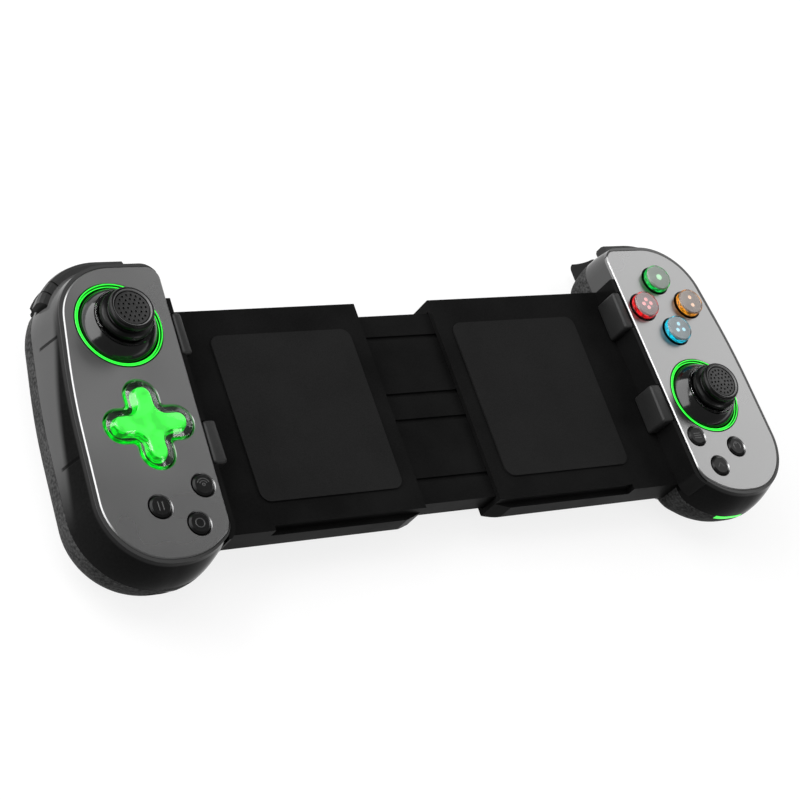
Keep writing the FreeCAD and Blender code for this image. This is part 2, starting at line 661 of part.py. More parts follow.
def stick_gimbal(x, y):
    """Gimbal ring with axles along X and bores along Y."""
    pivot = FACE - STICK_PIVOT_DEPTH
    ring = disc(x, y, GIMBAL_OUTER, pivot - GIMBAL_HALF_HEIGHT, pivot + GIMBAL_HALF_HEIGHT)
    reach = GIMBAL_OUTER + GIMBAL_SIDE_GAP + EAR_THICKNESS - FIT / 2
    ring = ring.fuse([rod_x(AXLE_RADIUS, x - reach, x + reach, y, pivot)]).removeSplitter()
    ring = ring.cut(disc(x, y, GIMBAL_INNER, pivot - 3, pivot + 3))
    return ring.cut(rod_y(STUB_RADIUS + RUNNING, y - 9, y + 9, x, pivot))


def stick_dome(x, y):
    """Domed skirt, its hub and the stubs that turn in the gimbal ring."""
    pivot = FACE - STICK_PIVOT_DEPTH
    centre = V(x, y, pivot)
    ball = Part.makeSphere(DOME_RADIUS, centre).cut(Part.makeSphere(DOME_RADIUS - DOME_WALL, centre))
    keep = disc(x, y, DOME_RADIUS + 1, pivot - 0.5, pivot + COLLAR_HEIGHT)
    floor_radius = math.sqrt((DOME_RADIUS - DOME_WALL) ** 2 - (COLLAR_HEIGHT - DOME_WALL) ** 2) + 0.2
    floor = disc(x, y, floor_radius, pivot + COLLAR_HEIGHT - DOME_WALL, pivot + COLLAR_HEIGHT)
    hub = disc(x, y, HUB_RADIUS, pivot - 1.5, pivot + COLLAR_HEIGHT)
    stubs = rod_y(STUB_RADIUS, y - GIMBAL_OUTER + 0.3, y + GIMBAL_OUTER - 0.3, x, pivot)
    body = fused([ball.common(keep), floor, hub, stubs])
    return body.cut(disc(x, y, SHAFT_RADIUS + RUNNING, 0, FACE + DOME_RADIUS))


def stick_collar(x, y):
    """Clear ring round the foot of the stick."""
    pivot = FACE - STICK_PIVOT_DEPTH
    low, high = COLLAR_HEIGHT, COLLAR_HEIGHT + COLLAR_THICKNESS
    return turned([
        (COLLAR_INNER, low), (COLLAR_OUTER - 0.2, low), (COLLAR_OUTER, low + 0.2),
        (COLLAR_OUTER - 0.05, high - 0.2), (COLLAR_OUTER - 0.25, high), (COLLAR_INNER, high),
    ], x, y, pivot)


def stick_cap(x, y):
    """Rubber cap: shaft, thick foot, waist and a rim round the thumb disc."""
    pivot = FACE - STICK_PIVOT_DEPTH
    foot = COLLAR_HEIGHT + STICK_CLICK + 0.15
    top = STICK_PIVOT_DEPTH + STICK_DISC_HEIGHT
    return turned([
        (0, -2.5), (SHAFT_RADIUS, -2.5), (SHAFT_RADIUS, foot), (STICK_BODY_RADIUS, foot),
        (STICK_BODY_RADIUS, top - 3.1), (STICK_BODY_RADIUS - 0.4, top - 2.65),
        (STICK_WAIST_RADIUS + 0.2, top - 2.4), (STICK_WAIST_RADIUS, top - 2.2),
        (STICK_WAIST_RADIUS, top - 1.9), (STICK_CAP_RADIUS - 0.2, top - 1.5),
        (STICK_CAP_RADIUS, top - 1.1), (STICK_CAP_RADIUS, top - 0.2),
        (STICK_CAP_RADIUS - 0.3, top + 0.3), (STICK_CAP_RADIUS - 0.7, top + 0.5),
        (STICK_DISC_RADIUS + 0.3, top + 0.35), (STICK_DISC_RADIUS, top), (0, top),
    ], x, y, pivot)


def ring_light(x, y):
    """Light ring that clips under the faceplate round the stick: a lip, a channel and an inner bead."""
    flange = PLATE_THICKNESS + FIT
    low, edge = -flange - RING_FLANGE_THICKNESS, RING_OUTER + RING_FLANGE
    ring = turned([
        (RING_INNER, low), (edge, low), (edge, -flange), (RING_OUTER, -flange), (RING_OUTER, 0.05),
        (RING_OUTER - 0.1, 0.15), (RING_LIP + 0.1, 0.15), (RING_LIP, 0.05), (RING_LIP - 0.04, -0.8),
        (RING_CHANNEL, -0.86), (RING_BEAD + 0.3, -0.3), (RING_BEAD + 0.15, -0.12), (RING_BEAD, -0.1),
        (RING_BEAD, -0.3), (RING_INNER - 0.2, -1.0),
    ], x, y, FACE)
    return ring.cut([disc(*spot(place), SMALL_BUTTON_RADIUS + FLANGE + FLANGE_CLEARANCE, 0, FACE)
                     for place in SMALL_BUTTONS.values()])


def push_button(x, y, radius, height, travel, edge):
    """Button cap with a flange that stays under the faceplate and a stem to its switch."""
    top, flange = FACE + height, FACE - PLATE_THICKNESS - FIT
    low = flange - 1.2
    foot = BOARD_TOP + MAT_THICKNESS + DOME_SWITCH_HEIGHT + travel + SLIDE_GAP
    return turned([
        (0, foot), (STEM_RADIUS, foot), (STEM_RADIUS, low), (radius + FLANGE, low), (radius + FLANGE, flange),
        (radius, flange), (radius, top - edge), (radius - edge, top), (0, top),
    ], x, y, 0)


def dpad_cap():
    """Cross key with bevelled arms, a flange under the plate and lugs for its pivot."""
    x, y = spot(DPAD)
    top, flange = FACE + DPAD_HEIGHT, FACE - DPAD_FLANGE_DEPTH
    shoulder = top - DPAD_BEVEL_DEPTH
    cross = cross_prism(0.0, flange - 1.0, shoulder)
    bevel = Part.makeLoft([cross_outline(0.0, shoulder), cross_outline(-DPAD_BEVEL_WIDTH, top)], True, True)
    skirt = cross_prism(DPAD_GAP + FLANGE, flange - 1.0, flange)
    pivot = FACE - DPAD_PIVOT_DEPTH
    lugs = [box(x - 1.6, x + 1.6, y + way * 4.4 - 0.6, y + way * 4.4 + 0.6, pivot - 1.5, flange)
            for way in (-1, 1)]
    foot = BOARD_TOP + MAT_THICKNESS + DOME_SWITCH_HEIGHT + 1.0
    stems = []
    for turn in range(4):
        angle = math.radians(90 * turn)
        stem_x, stem_y = x + 8.6 * math.cos(angle), y + 8.6 * math.sin(angle)
        stems.append(disc(stem_x, stem_y, STEM_RADIUS, foot, flange - 0.5))
    hollow = disc(x, y, 3.2, flange - 1.2, pivot + 2.6)
    hollow = hollow.fuse(box(x - 5.4, x + 5.4, y - 2.2, y + 2.2, flange - 1.2, pivot + 2.6))
    body = fused([cross, bevel, skirt]).cut(hollow).fuse(lugs + stems).removeSplitter()
    return body.cut(rod_y(STUB_RADIUS + RUNNING, y - 6, y + 6, x, pivot))


def dpad_rocker():
    """Small cross shaft under the direction pad, so that it can rock both ways."""
    x, y = spot(DPAD)
    pivot = FACE - DPAD_PIVOT_DEPTH
    return fused([disc(x, y, 2.2, pivot - 1.2, pivot + 1.2), rod_x(STUB_RADIUS, x - 4.7, x + 4.7, y, pivot),
                  rod_y(STUB_RADIUS, y - 4.7, y + 4.7, x, pivot)])


def dpad_post():
    """Bracket on the board that carries the rocker."""
    x, y = spot(DPAD)
    pivot = FACE - DPAD_PIVOT_DEPTH
    base = box(x - 5.2, x + 5.2, y - 2.0, y + 2.0, BOARD_TOP + MAT_THICKNESS + FIT, BOARD_TOP + 2.4)
    ears = []
    for way in (-1, 1):
        near, far = sorted((x + way * 3.2, x + way * 4.4))
        ears.append(box(near, far, y - 1.3, y + 1.3, BOARD_TOP + 1.5, pivot))
        ears.append(rod_x(1.3, near, far, y, pivot))
    return fused([base] + ears).cut(rod_x(STUB_RADIUS + RUNNING, x - 7, x + 7, y, pivot))


def key_mat(side):
    """Silicone mat on the board with one dome under each button."""
    stick, face = control_places(side)
    wire = rounded_outline(handle_corners(-5.5, -5.5, -NOTCH_INSET - GRIP_WALL - 2.5, -4.5), BOARD_TOP)
    mat = Part.Face(wire).extrude(V(0, 0, MAT_THICKNESS))
    half = STICK_CASE / 2 + SLIDE_GAP
    mat = mat.cut([box(stick[0] - half, stick[0] + half, stick[1] - half, stick[1] + half, 0, FACE)]
                  + screw_posts(BOSS_RADIUS + 0.4, 0, FACE))
    places = [spot(place) for place in SMALL_BUTTONS.values()] + list(face.values())
    if side == "left":
        x, y = spot(DPAD)
        places += [(x + 8.6, y), (x - 8.6, y), (x, y + 8.6), (x, y - 8.6)]
    domes = [Part.makeCone(2.4, 1.7, DOME_SWITCH_HEIGHT, V(px, py, BOARD_TOP + MAT_THICKNESS))
             for px, py in places]
    return mat.fuse(domes).removeSplitter()


def battery():
    """Flat cell on the floor of the left grip, with its rounded long edges."""
    x0, y0 = HANDLE_X + BATTERY_X, HANDLE_FOOT + BATTERY_RISE
    cell = box(x0, x0 + BATTERY_WIDTH, y0, y0 + BATTERY_LENGTH, GRIP_WALL, GRIP_WALL + BATTERY_THICKNESS)
    long_edges = [edge for edge in cell.Edges if abs(edge.BoundBox.YLength - BATTERY_LENGTH) < 1e-3]
    return cell.makeFillet(1.6, long_edges)


def case_screws():
    """Four screws up through the grip into the faceplate's bosses, with cross recesses in their heads."""
    screws = []
    for x, y in map(spot, SCREWS):
        head = disc(x, y, SCREW_HEAD_RADIUS, SCREW_SEAT - 1.4, SCREW_SEAT)
        shank = disc(x, y, SCREW_RADIUS - FIT / 5, SCREW_SEAT, SCREW_TIP)
        cross = [box(x - 1.1, x + 1.1, y - 0.25, y + 0.25, SCREW_SEAT - 2, SCREW_SEAT - 0.7),
                 box(x - 0.25, x + 0.25, y - 1.1, y + 1.1, SCREW_SEAT - 2, SCREW_SEAT - 0.7)]
        screws.append(head.fuse(shank).removeSplitter().cut(cross))
    return Part.makeCompound(screws)


def shoulder_pins():
    """Trigger pin along X and the bumper's upright pin."""
    y, z = pivot_line()
    long_pin = rod_x(PIN_RADIUS, HANDLE_X + 1.4, lug_span()[1] + 0.6, y, z)
    pin_x, pin_y = bumper_pivot()
    short_pin = disc(pin_x, pin_y, PIN_RADIUS, FACE - SEAM_DEPTH + 0.1, FACE - BUMPER_TOP_DEPTH + 0.5)
    return Part.makeCompound([long_pin, short_pin])


def arm_wall(spread):
    """Prism of the handle with its inner side running straight past both ends of the sleeve."""
    return Part.Face(rounded_outline(handle_corners(0, 6, 6, spread), 0)).extrude(V(0, 0, FACE))


def sleeve(side):
    """Hollow arm of the bridge that belongs to a handle and slides over the tongue."""
    back, front = DEVICE_BACK - SLEEVE_THICKNESS, DEVICE_BACK
    inner_end, outer_end = REST_GAP / 2, HANDLE_X + INNER_LEAN + 1
    body = box(inner_end, outer_end, SLEEVE_FOOT, SLEEVE_TOP, back, front)
    step = box(inner_end - 1, HANDLE_X - SLEEVE_SHOULDER, SLEEVE_FOOT - 1, SLEEVE_FOOT + SLEEVE_RIB,
               front - SLEEVE_STEP, front + 1)
    low, far = inner_end - 1, inner_end + 5
    bevel_line = [
        (low, SLEEVE_FOOT - 1), (far, SLEEVE_FOOT - 1), (far, SLEEVE_FOOT),
        (inner_end, SLEEVE_FOOT + SLEEVE_RIB), (low, SLEEVE_FOOT + SLEEVE_RIB), (low, SLEEVE_FOOT - 1),
    ]
    corner = Part.Face(Part.makePolygon([V(x, y, back - 1) for x, y in bevel_line]))
    hollow = box(inner_end - 1, HANDLE_X - SLEEVE_ROOT, SLEEVE_FOOT + SLEEVE_SIDE, SLEEVE_TOP - SLEEVE_SIDE,
                 back + SLEEVE_WALL, front - SLEEVE_WALL)
    body = body.cut([step, corner.extrude(V(0, 0, SLEEVE_THICKNESS + 2)), hollow, arm_wall(2 * FIT)])
    edges = [edge for edge in level_edges(body, back)
             if edge.BoundBox.XLength > (outer_end - inner_end) / 2
             and (abs(edge.BoundBox.YMin - SLEEVE_TOP) < 1e-4
                  or abs(edge.BoundBox.YMax - SLEEVE_FOOT) < 1e-4)]
    body = body.makeFillet(SLEEVE_EDGE, edges)
    return body.fuse(spring_peg(side)).removeSplitter()


def tongue_span():
    """Y and Z ranges of the tongue, clear of the sleeves' inside by the slide gap."""
    back = DEVICE_BACK - SLEEVE_THICKNESS + SLEEVE_WALL + SLIDE_GAP
    front = DEVICE_BACK - SLEEVE_WALL - SLIDE_GAP
    return (SLEEVE_FOOT + SLEEVE_SIDE + SLIDE_GAP, SLEEVE_TOP - SLEEVE_SIDE - SLIDE_GAP, back, front)


def spring_line(side):
    """Y and Z of a spring; the left one is the right one given a half turn about the tongue."""
    y0, y1, back, front = tongue_span()
    offset = SPRING_OFFSET if side == "left" else -SPRING_OFFSET
    return (y0 + y1) / 2 + offset, (back + front) / 2


def spring_peg(side):
    """Peg inside a sleeve that its spring hooks on."""
    y, z = spring_line(side)
    x = REST_GAP / 2 + PEG_INSET
    return box(x, x + 1.6, y - 1.6, y + 1.6, DEVICE_BACK - SLEEVE_THICKNESS + SLEEVE_WALL - 0.2, z + 1.2)


def bridge_tongue():
    """Middle plate of the bridge: ribbed front, and bores for the springs with a slot for each peg."""
    y0, y1, back, front = tongue_span()
    half = TONGUE_LENGTH / 2
    body = box(-half, half, y0, y1, back, front)
    y, z = spring_line("right")
    middle = (y0 + y1) / 2
    channel = rod_x(SPRING_RADIUS + SLIDE_GAP, SPRING_START - 0.2, half + 1, y, z)
    channel = channel.fuse(box(half - PEG_SLOT, half + 1, y - 2.0, y + 2.0, back - 1, z))
    mirrored = channel.copy().rotate(V(0, middle, 0), V(0, 0, 1), 180)
    grooves = []
    for offset in TONGUE_GROOVES:
        edge = middle + offset - GROOVE_WIDTH / 2
        grooves.append(box(-half - 1, half + 1, edge, edge + GROOVE_WIDTH, front - GROOVE_DEPTH, front + 1))
    return body.cut([channel, mirrored] + grooves)


def coil_spring():
    """Right return spring, from the tongue's channel end to the sleeve's peg."""
    y, z = spring_line("right")
    start, end = SPRING_START, REST_GAP / 2 + PEG_INSET - 0.2
    outer = rod_x(SPRING_RADIUS, start, end, y, z)
    return outer.cut(rod_x(SPRING_RADIUS - SPRING_WIRE, start - 1, end + 1, y, z))


def sleeve_pad():
    """Thin rubber pad on the sleeve's front that the held device lies on."""
    y0, y1 = SLEEVE_FOOT + PAD_MARGIN, SLEEVE_TOP - PAD_MARGIN
    x0, x1 = REST_GAP / 2 + PAD_INNER_MARGIN, HANDLE_X - PAD_OUTER_MARGIN
    corners = [(x0, y0, 3.0), (x1, y0, 3.0), (x1, y1, 3.0), (x0, y1, 3.0)]
    return Part.Face(rounded_outline(corners, DEVICE_BACK)).extrude(V(0, 0, PAD_THICKNESS))


def jaw_band(inner, outer, y0, y1, z0, z1):
    """Band along the handle's inner side between two spreads."""
    band = handle_prism(outer, FACE - z1, FACE - z0).cut(handle_prism(inner, -1, FACE + 1))
    return band.common(box(0, HANDLE_X + JAW_CURL, y0, y1, z0, z1))


def jaw_pads():
    """Two rubber hooks that bear on the held device's end and just lap its front edge."""
    pads = []
    z0, z1 = DEVICE_BACK + FIT, FACE - JAW_SINK + PAD_PROUD
    for drop in PAD_DROPS:
        y0 = HANDLE_TOP - drop - PAD_LENGTH / 2
        block = box(DEVICE_LENGTH / 2 + PAD_GAP, HANDLE_X + JAW_ROOM, y0, y0 + PAD_LENGTH, z0, z1)
        pads.append(block.cut(handle_prism(PAD_BITE, -1, FACE + 1)))
    return Part.makeCompound(pads)


def jaw():
    """Rail between faceplate and device, with the rubber hooks let into it."""
    rail = jaw_band(FIT, FIT + JAW_THICKNESS, HANDLE_FOOT + JAW_FOOT_RISE, HANDLE_TOP - JAW_TOP_DROP,
                    DEVICE_BACK + FIT, FACE - JAW_SINK)
    return rail.cut([casing_loft(shell_depths(), -FIT), jaw_pads()])


def write(name, shape, side):
    """Save one named piece, mirrored when it belongs to the left handle."""
    if side == "left":
        shape = shape.mirror(V(0, 0, 0), V(1, 0, 0))
    for solid in shape.Solids:
        assert solid.isValid(), name
    shape.exportStep("parts/" + name + ".step")
    print(name, len(shape.Solids), round(shape.Volume, 1))


def handle_pieces(side):
    """Pieces that both handles have, by name without the side."""
    stick, face = control_places(side)
    pieces = {
        "faceplate": faceplate(side), "shell": shell(side), "grip": grip(side), "sleeve": sleeve(side),
        "sleeve_pad": sleeve_pad(), "jaw": jaw(), "jaw_pads": jaw_pads(), "ring_light": ring_light(*stick),
        "board": circuit_board(side), "key_mat": key_mat(side), "stick_base": stick_base(*stick),
        "case_screws": case_screws(), "shoulder_pins": shoulder_pins(), "bumper": bumper(),
        "trigger": trigger(),
        "stick_gimbal": stick_gimbal(*stick), "stick_dome": stick_dome(*stick),
        "stick_collar": stick_collar(*stick), "stick_cap": stick_cap(*stick),
    }
    for name, place in SMALL_BUTTONS.items():
        pieces["button_" + name] = push_button(*spot(place), SMALL_BUTTON_RADIUS, SMALL_BUTTON_HEIGHT,
                                               SMALL_BUTTON_TRAVEL, 0.5)
    return pieces


def main():
    os.makedirs("parts", exist_ok=True)
    for side in ("left", "right"):
        for name, shape in handle_pieces(side).items():
            write(side + "_" + name, shape, side)
    write("dpad_cap", dpad_cap(), "left")
    write("dpad_rocker", dpad_rocker(), "left")
    write("dpad_post", dpad_post(), "left")
    write("battery", battery(), "left")
    write("charging_port", charging_port(), "left")
    for name, place in control_places("right")[1].items():
        write("face_button_" + name, push_button(*place, FACE_BUTTON_RADIUS, FACE_BUTTON_HEIGHT,
                                                 FACE_BUTTON_TRAVEL, 0.5), "right")
    write("light_bar", light_bar(), "right")
    tongue_y = tongue_span()
    write("bridge_tongue", bridge_tongue(), "right")
    write("right_spring", coil_spring(), "right")
    middle = V(0, (tongue_y[0] + tongue_y[1]) / 2, 0)
    write("left_spring", coil_spring().rotate(middle, V(0, 0, 1), 180), "right")


main()
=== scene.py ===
"""Looks of the clamp-on game controller: two handles, their controls and the sliding bridge."""
import math

import bmesh
import bpy
from mathutils import Matrix, Vector
from mathutils.geometry import tessellate_polygon


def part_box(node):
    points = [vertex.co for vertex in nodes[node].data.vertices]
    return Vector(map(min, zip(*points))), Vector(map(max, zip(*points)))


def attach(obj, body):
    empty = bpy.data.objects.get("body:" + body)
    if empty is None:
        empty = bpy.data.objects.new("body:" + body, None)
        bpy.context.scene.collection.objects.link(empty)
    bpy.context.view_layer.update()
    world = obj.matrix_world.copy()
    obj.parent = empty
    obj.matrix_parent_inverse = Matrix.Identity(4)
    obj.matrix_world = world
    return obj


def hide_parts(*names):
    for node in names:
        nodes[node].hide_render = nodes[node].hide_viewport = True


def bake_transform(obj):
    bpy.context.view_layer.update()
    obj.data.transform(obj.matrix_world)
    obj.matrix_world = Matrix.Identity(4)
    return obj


MM = 0.001
SIDES = ("left", "right")

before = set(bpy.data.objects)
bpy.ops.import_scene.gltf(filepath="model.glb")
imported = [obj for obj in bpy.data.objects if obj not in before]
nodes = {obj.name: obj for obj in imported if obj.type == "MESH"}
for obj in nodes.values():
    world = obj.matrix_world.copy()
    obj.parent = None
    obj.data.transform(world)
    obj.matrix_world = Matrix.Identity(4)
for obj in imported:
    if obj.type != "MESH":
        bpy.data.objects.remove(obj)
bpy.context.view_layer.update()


# Places on the controller, in millimetres

def span(node):
    """Lowest and highest corner of a CAD piece."""
    low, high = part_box(node)
    return low / MM, high / MM


def middle(node):
    """Centre of a CAD piece's box."""
    low, high = span(node)
    return (low + high) / 2


FACE = span("left_faceplate")[1].z


# Shader nodes

MIX_FIRST = 6
MIX_SECOND = 7
MIX_RESULT = 2


def feed(tree, socket, value):
    """Link a socket to another one, or set its plain value."""
    if isinstance(value, bpy.types.NodeSocket):
        tree.links.new(value, socket)
    elif socket.type == "RGBA":
        socket.default_value = (*value, 1.0)
    else:
        socket.default_value = value


def math_node(tree, operation, first, second=None, clamp=False):
    """Result of an operation on links or plain values."""
    node = tree.nodes.new("ShaderNodeMath")
    node.operation = operation
    node.use_clamp = clamp
    feed(tree, node.inputs[0], first)
    if second is not None:
        feed(tree, node.inputs[1], second)
    return node.outputs[0]


def times(tree, first, second):
    """First multiplied by second."""
    return math_node(tree, "MULTIPLY", first, second)


def plus(tree, first, second, clamp=False):
    """First and second added, held between 0 and 1 if clamped."""
    return math_node(tree, "ADD", first, second, clamp)


def minus(tree, first, second):
    """First less second."""
    return math_node(tree, "SUBTRACT", first, second)


def ramp(tree, value, low, high, out_low=0.0, out_high=1.0):
    """Smooth step from one value to another."""
    node = tree.nodes.new("ShaderNodeMapRange")
    node.interpolation_type = "SMOOTHSTEP"
    names = ("Value", "From Min", "From Max", "To Min", "To Max")
    for name, number in zip(names, (value, low, high, out_low, out_high)):
        feed(tree, node.inputs[name], number)
    return node.outputs["Result"]


def blend(tree, mask, first, second):
    """Colour mix of two colours or links by a mask."""
    node = tree.nodes.new("ShaderNodeMix")
    node.data_type = "RGBA"
    feed(tree, node.inputs["Factor"], mask)
    feed(tree, node.inputs[MIX_FIRST], first)
    feed(tree, node.inputs[MIX_SECOND], second)
    return node.outputs[MIX_RESULT]


def noise(tree, place, scale, detail):
    """Smooth noise at a place."""
    node = tree.nodes.new("ShaderNodeTexNoise")
    feed(tree, node.inputs["Vector"], place)
    feed(tree, node.inputs["Scale"], scale)
    feed(tree, node.inputs["Detail"], detail)
    return node.outputs["Fac"]


def own_place(tree):
    """Place on the piece that wears the material."""
    return tree.nodes.new("ShaderNodeTexCoord").outputs["Object"]


def axis(tree, place, name):
    """One coordinate of a place, in millimetres."""
    split = tree.nodes.new("ShaderNodeSeparateXYZ")
    feed(tree, split.inputs["Vector"], place)
    return times(tree, split.outputs[name], 1.0 / MM)


def bumped(tree, shader, height, depth, strength):
    """Bump on the shader's surface by a height, with its depth in millimetres."""
    bump = tree.nodes.new("ShaderNodeBump")
    feed(tree, bump.inputs["Strength"], strength)
    feed(tree, bump.inputs["Distance"], depth * MM)
    feed(tree, bump.inputs["Height"], height)
    feed(tree, shader.inputs["Normal"], bump.outputs["Normal"])


# Shader groups

SCUFF_SCALE = 420.0
UPRIGHT_FINENESS = 3.0


def new_group(name, inputs, outputs):
    """Shader node group with sockets given as (name, kind, value)."""
    group = bpy.data.node_groups.new(name, "ShaderNodeTree")
    for socket_name, kind, value in inputs:
        socket = group.interface.new_socket(socket_name, in_out="INPUT", socket_type="NodeSocket" + kind)
        if value is not None:
            socket.default_value = value
    for socket_name, kind in outputs:
        group.interface.new_socket(socket_name, in_out="OUTPUT", socket_type="NodeSocket" + kind)
    entry = group.nodes.new("NodeGroupInput")
    leave = group.nodes.new("NodeGroupOutput")
    return group, entry.outputs, leave.inputs


def moulding_group():
    """Grain of a moulded or blasted surface, with slow patches of tone and gloss and handling scuffs."""
    group, given, leave = new_group("moulded_surface", [
        ("Place", "Vector", None), ("Grain Scale", "Float", 3000.0), ("Patch Scale", "Float", 60.0),
        ("Deep Colour", "Color", (0.02, 0.02, 0.02, 1)), ("Pale Colour", "Color", (0.03, 0.03, 0.03, 1)),
        ("Smooth", "Float", 0.4), ("Rough", "Float", 0.5), ("Scuffs", "Float", 0.2),
    ], [("Colour", "Color"), ("Roughness", "Float"), ("Height", "Float")])
    place = given["Place"]
    grain = noise(group, place, given["Grain Scale"], 3.0)
    patch = noise(group, place, given["Patch Scale"], 2.0)
    both = plus(group, times(group, grain, 0.5), times(group, patch, 0.5))
    tone = ramp(group, both, 0.32, 0.68)
    wear_and_highlight = ramp(group, noise(group, place, SCUFF_SCALE, 5.0), 0.62, 0.75)
    scuff = times(group, wear_and_highlight, given["Scuffs"])
    rough = ramp(group, plus(group, patch, scuff), 0.3, 0.8, given["Smooth"], given["Rough"])
    feed(group, leave["Colour"], blend(group, tone, given["Deep Colour"], given["Pale Colour"]))
    feed(group, leave["Roughness"], rough)
    feed(group, leave["Height"], plus(group, grain, scuff))
    return group


def streak_group():
    """Bright and dim patches of light inside a clear cap, finer along the upright axis."""
    group, given, leave = new_group("inner_light", [
        ("Place", "Vector", None), ("Streak Scale", "Float", 900.0),
        ("Dim", "Float", 0.3), ("Bright", "Float", 1.0),
    ], [("Light", "Float")])
    squeeze = group.nodes.new("ShaderNodeMapping")
    feed(group, squeeze.inputs["Scale"], (1.0, 1.0, UPRIGHT_FINENESS))
    feed(group, squeeze.inputs["Vector"], given["Place"])
    broad = noise(group, squeeze.outputs["Vector"], given["Streak Scale"], 1.5)
    feed(group, leave["Light"], ramp(group, broad, 0.38, 0.6, given["Dim"], given["Bright"]))
    return group


MOULDED = moulding_group()
INNER_LIGHT = streak_group()


def grouped(tree, group, values):
    """Outputs of a group's node, with its inputs fed by name."""
    node = tree.nodes.new("ShaderNodeGroup")
    node.node_tree = group
    for name, value in values.items():
        feed(tree, node.inputs[name], value)
    return node.outputs


# Finishes

MOULDED_BUMP = 0.6
CLEAR_BUMP = 0.3
RIPPLE_SCALE = 350.0
GLOW_BASE = 0.4


def grey(value):
    """Grey colour of a linear value."""
    return (value, value, value)


def new_finish(name, **values):
    """Material with values set on the shader's own sockets."""
    finish = bpy.data.materials.new(name)
    finish.use_nodes = True
    tree = finish.node_tree
    shader = tree.nodes["Principled BSDF"]
    for socket_name, value in values.items():
        feed(tree, shader.inputs[socket_name.replace("_", " ")], value)
    return finish, tree, shader


def moulded(name, deep, pale, smooth, rough, grain=3000.0, patch=60.0, depth=0.02, scuffs=0.2, **values):
    """Plastic, rubber or metal with the moulded surface's own grain."""
    values.setdefault("Specular_IOR_Level", 0.3)
    finish, tree, shader = new_finish(name, **values)
    surface = grouped(tree, MOULDED, {
        "Place": own_place(tree), "Grain Scale": grain, "Patch Scale": patch, "Deep Colour": deep,
        "Pale Colour": pale, "Smooth": smooth, "Rough": rough, "Scuffs": scuffs,
    })
    feed(tree, shader.inputs["Base Color"], surface["Colour"])
    feed(tree, shader.inputs["Roughness"], surface["Roughness"])
    bumped(tree, shader, surface["Height"], depth, MOULDED_BUMP)
    return finish


def glowing(name, colour, strength, dim, scale=700.0):
    """Light guide: a lit colour with faint unevenness along it."""
    finish, tree, shader = new_finish(name, Roughness=0.3, Emission_Strength=strength)
    feed(tree, shader.inputs["Base Color"], tuple(value * GLOW_BASE for value in colour))
    light = grouped(tree, INNER_LIGHT, {
        "Place": own_place(tree), "Streak Scale": scale, "Dim": dim, "Bright": 1.0,
    })
    feed(tree, shader.inputs["Emission Color"], blend(tree, light["Light"], grey(0.0), colour))
    return finish


def clear(name, colour, roughness, ripples):
    """Clear moulded plastic with slight ripples, their depth in millimetres."""
    finish, tree, shader = new_finish(name, Base_Color=colour, IOR=1.47, Transmission_Weight=1.0)
    ripple = noise(tree, own_place(tree), RIPPLE_SCALE, 1.0)
    feed(tree, shader.inputs["Roughness"], ramp(tree, ripple, 0.3, 0.7, roughness, roughness * 2))
    bumped(tree, shader, ripple, ripples, CLEAR_BUMP)
    return finish


# Smoky shell

# Painted sheen on the shell: a sloped edge below which its upper part is paler.
SHEEN_SLOPE = 0.135
SHEEN_DROP = 5.1
SHEEN_FADE = 1.2
SHELL_LINES = (20.5, -13.0)
LINE_HALF = 0.3
LINE_EDGE = 0.6
LINE_DEPTH = 30.0


def shell_lines(tree, height, across):
    """Mask of the moulded lines that cross the shell's side below its lip."""
    lines = None
    for line in SHELL_LINES:
        gap = math_node(tree, "ABSOLUTE", minus(tree, across, line))
        mark = ramp(tree, gap, LINE_HALF, LINE_EDGE, 1.0, 0.0)
        lines = mark if lines is None else math_node(tree, "MAXIMUM", lines, mark)
    below_lip = ramp(tree, height, FACE - 1.4, FACE - 1.8)
    above_seam = ramp(tree, height, FACE - 9.0, FACE - 8.0)
    return times(tree, lines, times(tree, below_lip, above_seam))


def smoky_finish():
    """Glossy smoky shell: paler on its upper part as a painted sheen, with more coat there, a polished lip,
    a painted highlight along its top edge, and moulded lines darkened with painted shade.
    """
    finish = moulded("smoky_clear_shell", grey(0.003), grey(0.006), 0.1, 0.18, grain=1500.0, patch=40.0,
                     depth=0.004, scuffs=0.15, Specular_IOR_Level=0.02, Coat_Roughness=0.05)
    tree = finish.node_tree
    shader = tree.nodes["Principled BSDF"]
    place = own_place(tree)
    height = axis(tree, place, "Z")
    across = axis(tree, place, "Y")
    # Painted sheen: paler colour and more coat on the shell's upper part, below a sloped edge.
    sheen_edge = plus(tree, times(tree, across, SHEEN_SLOPE), FACE - SHEEN_DROP)
    below_sheen_edge = ramp(tree, minus(tree, height, sheen_edge), SHEEN_FADE, -SHEEN_FADE)
    painted_sheen = times(tree, below_sheen_edge, ramp(tree, across, -30.0, -8.0))
    lip_height = ramp(tree, height, FACE - 1.9, FACE - 1.2)
    lip = times(tree, lip_height, ramp(tree, across, -42.0, -15.0, 0.5, 1.0))
    # Painted highlight: a paler band along the shell's top edge beside the plate.
    painted_top_highlight = ramp(tree, height, FACE - 0.55, FACE - 0.4)
    lines = shell_lines(tree, height, across)
    body = shader.inputs["Base Color"].links[0].from_socket
    tinted = blend(tree, times(tree, painted_sheen, 0.9), body, grey(0.075))
    tinted = blend(tree, painted_top_highlight, tinted, grey(0.04))
    # The moulded lines, sunk by the bump below, are near black: painted shade in their grooves.
    feed(tree, shader.inputs["Base Color"], blend(tree, lines, tinted, grey(0.001)))
    gloss = plus(tree, times(tree, painted_sheen, 0.36), times(tree, lip, 0.5))
    feed(tree, shader.inputs["Coat Weight"], plus(tree, gloss, 0.03, clamp=True))
    bump = shader.inputs["Normal"].links[0].from_node
    grain = bump.inputs["Height"].links[0].from_socket
    feed(tree, bump.inputs["Height"], minus(tree, grain, times(tree, lines, LINE_DEPTH)))
    return finish


# Finish of each piece

GREEN = (0.03, 1.0, 0.05)

